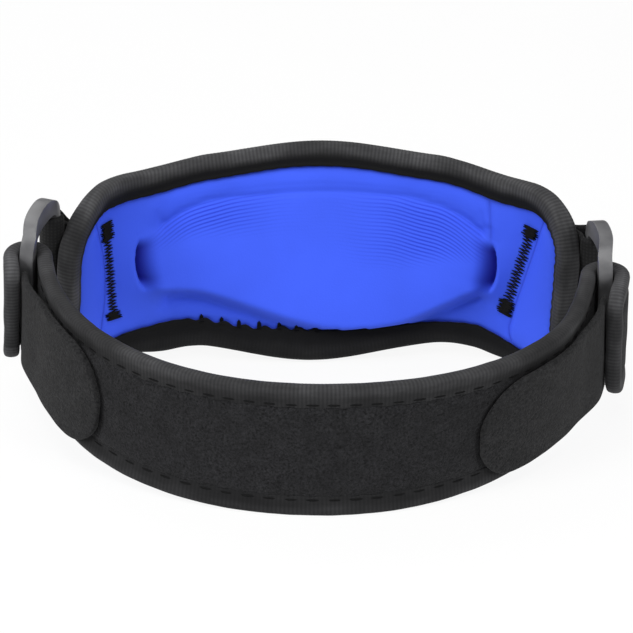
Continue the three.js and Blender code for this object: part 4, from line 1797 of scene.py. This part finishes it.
    def knot_strand(self, place: float, aside: float) -> Array:
        """One strand of a knot, from the tape up onto the lining.

        Args:
            place: place of the knot along the pad.
            aside: where the strand starts beside the knot's middle.

        Returns:
            Points that the strand follows.
        """
        seam = self.seam
        low, _ = PAD_FORM.edges(np.array([place]))
        cover = self.tape.width + float(seam.wave(np.array([place]), low)[0])
        share = np.linspace(0.0, 1.0, seam.strand_points)
        above = seam.strand_above - seam.strand_loss * abs(aside)
        up = low[0] + cover + mix(-seam.strand_below, above, share)
        along = place + aside * (1.0 - seam.strand_narrows * share)
        on_lining = self.lining_out(along, up) + self.lining_thickness / 2.0
        tape_height = self.tape.half_thickness * seam.strand_on_tape
        on_tape = mix(tape_height, 0.0, smooth(share / seam.strand_leaves))
        return PAD_FORM.point(along, up, -np.maximum(on_lining, on_tape) - seam.strand_lift)

    def build_knots(self) -> Piece:
        """Loops of thread that pull the lower seam's edge up on the left."""
        asides = self.seam.strand_asides
        lines = [self.knot_strand(place, aside) for place in self.seam.knot_places() for aside in asides]
        return settle(threads("lower_seam_knots", lines, [self.seam.knot_radius] * len(lines)), THREAD)

    def build(self) -> None:
        """Builds every piece of the pad."""
        self.lay_lining()
        self.build_panel()
        self.build_lining()
        self.build_tape()
        self.build_tacks()
        self.build_knots()


@dataclass
class Strap:
    """The front strap: a brushed band, its edge tape and the running stitches that hold it."""

    core_half: float = 1.2
    core_soft: float = 0.5
    edge_margin: float = 1.0
    columns: int = 320
    rows: int = 34
    swell: float = 0.75
    swell_half_width: float = 13.0
    swell_ease: float = 0.25
    uneven: float = 0.16
    outline_columns: int = 2400
    tape_waver: float = 0.15
    ribs_least: float = 0.45
    ribs_front: float = 0.33
    ribs_front_reach: float = 62.0
    ribs_folded: float = 0.45
    ribs_folded_past: Pair = (-34.0, 8.0)
    ribs_upper: Pair = (-12.0, 10.0)
    stitch_start: float = 2.0
    stitch_pitch: float = 5.2
    stitch_length: float = 3.2
    stitch_points: int = 6
    stitch_inset: float = 4.7
    stitch_radius: float = 0.24
    stitch_height: float = 0.75
    stitch_arch: float = 0.16
    # The strap's tape keeps half its painted crest highlight at the sewn edges.
    tape: EdgeTape = EdgeTape(5.5, 5.5, 2.1, 1.35, profile=FLUSH_TAPE, highlight_at_seam=0.5)

    def edges(self, along: Array, margin: float) -> tuple[Array, Array]:
        """Lower and upper edge of the strap laid flat, or of what lies a margin inside it."""
        radius = STRAP_FORM.corner_radius - margin
        from_end = np.minimum(along, STRAP_RIBBON.length - along) - margin
        half = STRAP_RIBBON.half_width(along) - margin - corner_cut(from_end, radius)
        return -half, half

    def places(self, margin: float, count: int) -> Array:
        """Places from end to end of the strap, closer together at its round corners."""
        middle = STRAP_RIBBON.length / 2.0
        even = np.linspace(-1.0, 1.0, count)
        edge = np.sign(even) * (1.0 - (1.0 - np.abs(even)) ** 1.5)
        return middle + (middle - margin) * edge

    def swollen(self, far: Array, up: Array, out: Array) -> Array:
        """Place in the drawing frame of a flat place, with the pile's swelling added outwards."""
        uneven = self.uneven * ripple(far, 17.0, 0.3) * ripple(up + 40.0, 13.0, 1.7)
        swell = self.swell * smooth((1.0 - np.abs(up) / self.swell_half_width) / self.swell_ease)
        return STRAP_RIBBON.point(far, up, out + np.sign(out) * (swell + uneven))

    def build_band(self) -> Piece:
        """The brushed band, a little swollen between its bound edges."""
        along = self.places(self.edge_margin, self.columns)
        low, high = self.edges(along, self.edge_margin)
        wall = SoftWall(self.rows, self.core_half, self.core_soft)
        piece = wall.build("strap_brushed_band", along, low, high, self.swollen)
        settle(piece, PILE, "strap_band")
        return piece

    def waver(self, along: Array, _up: Array) -> Array:
        """How the stitches draw the tape's edge in and out."""
        return self.tape_waver * np.sin(TURN * along / self.stitch_pitch)

    def open_ribs(self, along: Array, up: Array) -> Array:
        """How far the tape's ribs stand open and how much painted highlight their crests get: along the
        front's upper edge and at the folded ends.
        """
        middle = STRAP_RIBBON.length / 2.0
        from_middle = np.abs(along - middle)
        front = bump_at(from_middle, 0.0, self.ribs_front_reach) * ramp(up, *self.ribs_upper)
        folded = ramp(from_middle - middle, *self.ribs_folded_past)
        return self.ribs_least + self.ribs_front * front + self.ribs_folded * folded

    def build_tape(self) -> Piece:
        """The ribbed tape round the strap's edges and ends."""
        along = self.places(0.0, self.outline_columns)
        outline = outline_of(along, *self.edges(along, 0.0))
        point = STRAP_RIBBON.point
        piece = self.tape.build("strap_edge_tape", outline, point, self.waver, self.open_ribs)
        return settle(piece, BINDING, "strap_binding")

    def build_stitches(self) -> Piece:
        """Running stitches along both edges on both faces."""
        lines = []
        start = STRAP_FORM.corner_radius + self.stitch_start
        share = np.linspace(0.0, 1.0, self.stitch_points)
        arch = self.stitch_arch * np.sin(math.pi * share) - self.stitch_arch / 2.0
        sunk = self.tape.half_thickness * self.stitch_height + arch
        for k in range(int((STRAP_RIBBON.length - 2.0 * start) / self.stitch_pitch)):
            along = start + k * self.stitch_pitch + self.stitch_length * share
            up = STRAP_RIBBON.half_width(along) - self.stitch_inset
            for edge in (-1.0, 1.0):
                lines += [STRAP_RIBBON.point(along, edge * up, face * sunk) for face in (-1.0, 1.0)]
        return settle(threads("strap_stitches", lines, [self.stitch_radius] * len(lines)), THREAD)

    def build(self) -> None:
        """Builds every piece of the strap."""
        self.build_band()
        self.build_tape()
        self.build_stitches()


@dataclass
class HookTab:
    """A brushed tab under a strap end, lying along the strap and round at its free end."""

    side: Side
    low: float = -14.8
    high: float = 12.6
    thickness: float = 1.8
    gap: float = 0.3
    low_radius: float = 11.0
    high_radius: float = 15.0
    lift_angle: float = 11.0
    strap_tape_half: float = 2.2
    uneven: float = 0.12
    columns: int = 70
    rows: int = 34
    soft: float = 0.8
    round_closer: float = 1.6

    def point(self, degrees: Array, up: Array, out: Array) -> Array:
        """Place in the drawing frame of a place on the tab, by its angle round the strap."""
        sizes = self.side.value
        centre, _, outward, across = STRAP_FORM.frame(sizes.sign * degrees)
        on_strap = self.strap_tape_half + self.gap + self.thickness / 2.0
        lift = smooth((degrees - sizes.end_angle + self.lift_angle) / self.lift_angle)
        uneven = self.uneven * ripple(degrees * 1.2 + 0.6 * up, 15.0, 0.9)
        offset = mix(on_strap, sizes.end_offset - on_strap, lift) + out + uneven
        return centre + outward * offset[..., None] + across * up[..., None]

    def build(self) -> Piece:
        """Builds the tab."""
        sizes = self.side.value
        step = STRAP_FORM.centre(sizes.sign * (sizes.tab_angle + np.array([0.0, 1.0])))
        per_degree = float(np.linalg.norm(step[1] - step[0]))
        share = np.linspace(0.0, 1.0, self.columns) ** self.round_closer
        degrees = mix(sizes.tab_angle, sizes.end_angle + sizes.tab_hidden, share)
        from_end = (degrees - sizes.tab_angle) * per_degree
        low = self.low + corner_cut(from_end, self.low_radius)
        high = self.high - corner_cut(from_end, self.high_radius)
        wall = SoftWall(self.rows, self.thickness / 2.0, self.soft)
        piece = wall.build(f"brushed_tab_{self.side.label}", degrees, low, high, self.point)
        settle(piece, TAB_TAPE, f"hook_tab_{self.side.label}")
        steps = np.diff(STRAP_FORM.centre(sizes.sign * degrees), axis=0)
        return piece


@dataclass
class Ring:
    """A moulded ring: two bars, two sides, rounded edges and a slight bow."""

    side: Side
    bar_spacing: float = 20.0
    bar_width: float = 3.2
    side_width: float = 5.6
    thickness: float = 3.6
    slot_half_height: float = 16.4
    outer_radius: float = 8.0
    slot_radius: float = 1.5
    edge_round: float = 0.75
    edge_segments: int = 4
    edge_angle: float = 50.0
    smooth_angle: float = 45.0
    outer_segments: int = 12
    slot_segments: int = 4
    bow: float = 1.3
    bow_steps: int = 8

    @property
    def slot(self) -> Pair:
        """Where the slot starts and ends between the bars."""
        return self.bar_width / 2.0, self.bar_spacing - self.bar_width / 2.0

    def build(self) -> Piece:
        """Cuts the slot out of a block, rounds its corners and edges, bows it and puts it in place."""
        name = f"moulded_ring_{self.side.label}"
        bpy.ops.object.select_all(action="DESELECT")
        bpy.ops.mesh.primitive_cube_add(size=1.0, location=(0.0, 0.0, 0.0))
        piece = bpy.context.active_object
        piece.name = piece.data.name = name
        half_height = self.slot_half_height + self.side_width
        piece.scale = (self.bar_spacing + self.bar_width, 2.0 * half_height, self.thickness)
        piece.location = (self.bar_spacing / 2.0, 0.0, 0.0)
        bpy.ops.object.transform_apply(location=True, rotation=False, scale=True)
        far = self.bar_spacing + self.bar_width / 2.0
        ends = (-self.bar_width / 2.0, far)
        self.round_corners(piece, ends, half_height, self.outer_radius, self.outer_segments)
        self.cut_slot(piece)
        self.round_corners(piece, self.slot, self.slot_half_height, self.slot_radius, self.slot_segments)
        self.bow_sides(piece)
        self.round_edges(piece)
        self.place(piece)
        return settle(piece, RING_PLASTIC, f"ring_{self.side.label}")

    def cut_slot(self, piece: Piece) -> None:
        """Bisects the block at the slot's four sides, takes its middle out and bridges the rims."""
        start, end = self.slot
        cuts = [((x, 0.0, 0.0), (1.0, 0.0, 0.0)) for x in self.slot]
        cuts += [((0.0, y, 0.0), (0.0, 1.0, 0.0)) for y in (-self.slot_half_height, self.slot_half_height)]
        bpy.ops.object.mode_set(mode="EDIT")
        for place, normal in cuts:
            bpy.ops.mesh.select_all(action="SELECT")
            bpy.ops.mesh.bisect(plane_co=place, plane_no=normal)
        bpy.ops.mesh.select_all(action="DESELECT")
        body = bmesh.from_edit_mesh(piece.data)
        for face in body.faces:
            middle = face.calc_center_median()
            in_slot = start < middle.x < end and abs(middle.y) < self.slot_half_height
            face.select_set(in_slot and abs(face.normal.z) > 0.9)
        bmesh.update_edit_mesh(piece.data)
        bpy.ops.mesh.delete(type="FACE")
        bpy.ops.mesh.select_all(action="DESELECT")
        body = bmesh.from_edit_mesh(piece.data)
        for edge in body.edges:
            edge.select_set(edge.is_boundary)
        bmesh.update_edit_mesh(piece.data)
        bpy.ops.mesh.bridge_edge_loops()
        bpy.ops.object.mode_set(mode="OBJECT")

    def round_corners(
        self,
        piece: Piece,
        across: Pair,
        height: float,
        radius: float,
        segments: int,
    ) -> None:
        """Rounds four upright edges.

        Args:
            piece: the ring.
            across: the two places of the edges between the bars.
            height: how far above and below the middle the edges stand.
            radius: radius of the corners.
            segments: flats in each corner.
        """
        bpy.ops.object.mode_set(mode="EDIT")
        bpy.ops.mesh.select_all(action="DESELECT")
        bpy.ops.mesh.select_mode(type="EDGE")
        body = bmesh.from_edit_mesh(piece.data)
        for edge in body.edges:
            a, b = edge.verts[0].co, edge.verts[1].co
            upright = abs(a.z - b.z) > 0.9 * self.thickness
            at_place = min(abs(a.x - place) for place in across) < 1e-4
            edge.select_set(upright and at_place and abs(abs(a.y) - height) < 1e-4)
        bmesh.update_edit_mesh(piece.data)
        bpy.ops.mesh.bevel(offset=radius, segments=segments, affect="EDGES")
        bpy.ops.object.mode_set(mode="OBJECT")

    def bow_sides(self, piece: Piece) -> None:
        """Bisects the two sides into steps and lifts the steps into a slight bow."""
        low, high = self.slot
        bpy.ops.object.mode_set(mode="EDIT")
        for k in range(1, self.bow_steps):
            place = mix(low, high, k / self.bow_steps)
            bpy.ops.mesh.select_all(action="SELECT")
            bpy.ops.mesh.bisect(plane_co=(place, 0.0, 0.0), plane_no=(1.0, 0.0, 0.0))
        body = bmesh.from_edit_mesh(piece.data)
        for vertex in body.verts:
            share = min(1.0, max(0.0, (vertex.co.x - low) / (high - low)))
            vertex.co.z += self.side.value.sign * self.bow * 4.0 * share * (1.0 - share)
        bmesh.update_edit_mesh(piece.data)
        bpy.ops.object.mode_set(mode="OBJECT")

    def round_edges(self, piece: Piece) -> None:
        """Rounds every sharp edge with an applied Bevel and smooths the faces."""
        bpy.context.view_layer.objects.active = piece
        rounding = piece.modifiers.new("edge", "BEVEL")
        rounding.width = self.edge_round
        rounding.segments = self.edge_segments
        rounding.angle_limit = math.radians(self.edge_angle)
        bpy.ops.object.modifier_apply(modifier=rounding.name)
        bpy.ops.object.shade_smooth_by_angle(angle=math.radians(self.smooth_angle))

    def place(self, piece: Piece) -> None:
        """Turns the ring onto the strap's bar and writes its place into the mesh."""
        centre, _, _, across, to_webbing = STRAP_FORM.bar(self.side)
        normal = unit(np.cross(to_webbing, across))
        turned = Matrix([[to_webbing[k], across[k], normal[k]] for k in range(3)]).to_4x4()
        turned.translation = Vector(centre + FOOTPRINT_SHIFT)
        piece.data.transform(Matrix.Scale(MM, 4) @ turned)
        piece.data.update()


@dataclass
class WebbingLoop:
    """A woven tape round a ring's second bar, both layers sewn to the outside of the pad."""

    side: Side
    half_width: float = 15.2
    thickness: float = 1.2
    layer_offset: float = 0.8
    pad_face: float = 3.3
    tack: float = 53.0
    leaves: float = 66.0
    bar_gap: float = 0.4
    open_sooner: float = 1.5
    ring_spacing: float = 20.0
    ring_thickness: float = 3.6
    tack_margin: float = 1.2
    tack_sunk: float = 0.1
    columns: int = 120
    rows: int = 22
    soft: float = 0.6
    pad_steps: int = 16
    link_steps: int = 24
    turn_steps: int = 18

    def path(self) -> Ribbon:
        """The tape's run: along the pad, round the bar and back under itself.

        Returns:
            The band that the tape follows.
        """
        sizes = self.side.value
        bar, _, _, bar_across, to_webbing = STRAP_FORM.bar(self.side)
        bar = bar + to_webbing * self.ring_spacing + bar_across * sizes.webbing_up
        half = self.thickness / 2.0
        face = self.pad_face + half + self.layer_offset
        wrap = self.ring_thickness / 2.0 + self.bar_gap + half
        on_pad = sizes.sign * np.linspace(self.tack, self.leaves, self.pad_steps)
        flat = np.zeros_like(on_pad)
        pad_line = PAD_FORM.point(on_pad, flat, flat + face)
        _, pad_across, _ = PAD_FORM.frame(on_pad)
        ahead = unit(pad_line[-1] - pad_line[-2])
        reach = float(np.linalg.norm(bar - pad_line[-1])) / 3.0
        share = np.linspace(0.0, 1.0, self.link_steps)[1:, None]
        left = 1.0 - share
        knots = (pad_line[-1], pad_line[-1] + ahead * reach, bar + to_webbing * reach, bar)
        weights = (left**3, 3.0 * share * left**2, 3.0 * share**2 * left, share**3)
        link = sum(knot * weight for knot, weight in zip(knots, weights))
        link_across = unit(mix(pad_across[-1], bar_across, smooth(share)))
        spine = np.concatenate([pad_line, link])
        across = np.concatenate([pad_across, link_across])
        spread = np.concatenate([np.zeros(len(on_pad)), smooth(share[:, 0] * self.open_sooner)])
        sideways = unit(np.cross(np.gradient(spine, axis=0), across))
        offset = mix(self.layer_offset, wrap, spread)[:, None]
        beside = unit(np.cross(-to_webbing, bar_across))
        turn = np.linspace(0.0, math.pi, self.turn_steps)[1:-1, None]
        round_bar = bar + beside * wrap * np.cos(turn) - to_webbing * wrap * np.sin(turn)
        centres = np.concatenate([spine + sideways * offset, round_bar, (spine - sideways * offset)[::-1]])
        acrosses = np.concatenate([across, np.tile(bar_across, (len(turn), 1)), across[::-1]])
        return Ribbon(centres, acrosses, np.full(len(centres), self.half_width))

    def build(self) -> None:
        """Builds the tape and the zigzag that sews it to the pad."""
        ribbon = self.path()
        along = np.linspace(0.0, ribbon.length, self.columns)
        low = np.full(len(along), -self.half_width)
        wall = SoftWall(self.rows, self.thickness / 2.0, self.soft)
        piece = wall.build(f"woven_webbing_{self.side.label}", along, low, -low, ribbon.point)
        settle(piece, WEBBING_TAPE, f"webbing_{self.side.label}")
        self.build_tack()

    def on_tape(self, along: Array, up: Array, lift: Array) -> Array:
        """Place in the drawing frame of a thread on the tape's outer layer, kept inside its edges."""
        outer = self.pad_face + 2.0 * self.layer_offset + self.thickness
        inside = self.half_width - self.tack_margin
        kept = self.side.value.sign * np.maximum(np.abs(along), self.tack + self.tack_margin)
        return PAD_FORM.point(kept, np.clip(up, -inside, inside), outer + lift - self.tack_sunk)

    def build_tack(self) -> Piece:
        """The pad's tack where it comes out on the tape's outer layer."""
        return TACKS[self.side].sew(f"tack_thread_out_{self.side.label}", self.on_tape)


@dataclass(frozen=True)
class SoftBox:
    """A square box of light, in metres and watts, that looks at the strap."""

    name: str
    place: tuple[float, float, float]
    power: float
    size: float
    looks_at: tuple[float, float, float] = (0.0, 0.0, 0.03)

    def build(self) -> None:
        """Builds the light."""
        data = bpy.data.lights.new(self.name, "AREA")
        data.energy = self.power
        data.shape = "SQUARE"
        data.size = self.size
        light = bpy.data.objects.new(self.name, data)
        light.location = self.place
        ahead = Vector(self.looks_at) - Vector(self.place)
        light.rotation_euler = ahead.to_track_quat("-Z", "Y").to_euler()
        bpy.context.scene.collection.objects.link(light)


@dataclass
class Studio:
    """White light table, soft light from above and the camera at the photograph's viewing angle."""

    elevation: float = 25.0
    distance: float = 800.0
    focal_pixels: float = 3120.0
    sensor_width: float = 36.0
    clip_end: float = 20.0
    target: tuple[float, float, float] = (0.478, -3.031, 30.88)
    floor_size: float = 6.0
    floor_height: float = -0.0001
    sky: float = 0.12
    sky_colour: str = "#ffffff"
    lights: tuple[SoftBox, ...] = (
        SoftBox("key_light", (-0.1, -0.4, 0.95), 8.6, 0.9),
        SoftBox("left_light", (-1.0, -0.6, 0.62), 11.0, 0.5),
        SoftBox("right_light", (0.9, -0.7, 0.6), 8.4, 0.5),
        SoftBox("rim_light", (-0.3, 0.6, 0.8), 3.2, 0.6),
    )

    def build_camera(self) -> None:
        """A long lens, looking down at the loop from the strap's side."""
        data = bpy.data.cameras.new("photo_camera")
        data.sensor_width = self.sensor_width
        data.lens = self.focal_pixels / IMAGE_PIXELS * data.sensor_width
        data.clip_end = self.clip_end
        camera = bpy.data.objects.new("photo_camera", data)
        tilt = math.radians(self.elevation)
        back = Vector((0.0, -math.cos(tilt), math.sin(tilt))) * self.distance
        camera.location = (Vector(self.target) + back) * MM
        camera.rotation_euler = (math.pi / 2.0 - tilt, 0.0, 0.0)
        bpy.context.scene.collection.objects.link(camera)
        bpy.context.scene.camera = camera

    def build_floor(self) -> None:
        """A wide opal sheet under the strap."""
        bpy.ops.object.select_all(action="DESELECT")
        bpy.ops.mesh.primitive_plane_add(size=self.floor_size, location=(0.0, 0.0, self.floor_height))
        floor = bpy.context.active_object
        floor.name = "light_table"
        LIGHT_TABLE.dress(floor)

    def build_lights(self) -> None:
        """A dim white surround, a large box of light above, one on each side in front and one behind."""
        world = bpy.data.worlds.new("white_surround")
        world.use_nodes = True
        surround = {"Color": linear(self.sky_colour), "Strength": self.sky}
        feed(world.node_tree, world.node_tree.nodes["Background"], surround)
        bpy.context.scene.world = world
        for light in self.lights:
            light.build()

    def build(self) -> None:
        """Builds the camera, the floor and the lights."""
        bpy.context.scene.view_settings.view_transform = "Standard"
        self.build_camera()
        self.build_floor()
        self.build_lights()


def main() -> None:
    """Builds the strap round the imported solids."""
    logging.basicConfig(level=logging.INFO, format="%(name)s %(message)s")
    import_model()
    Studio().build()
    Pad().build()
    Strap().build()
    for side in Side:
        HookTab(side).build()
        Ring(side).build()
        WebbingLoop(side).build()


if __name__ == "__main__":
    main()
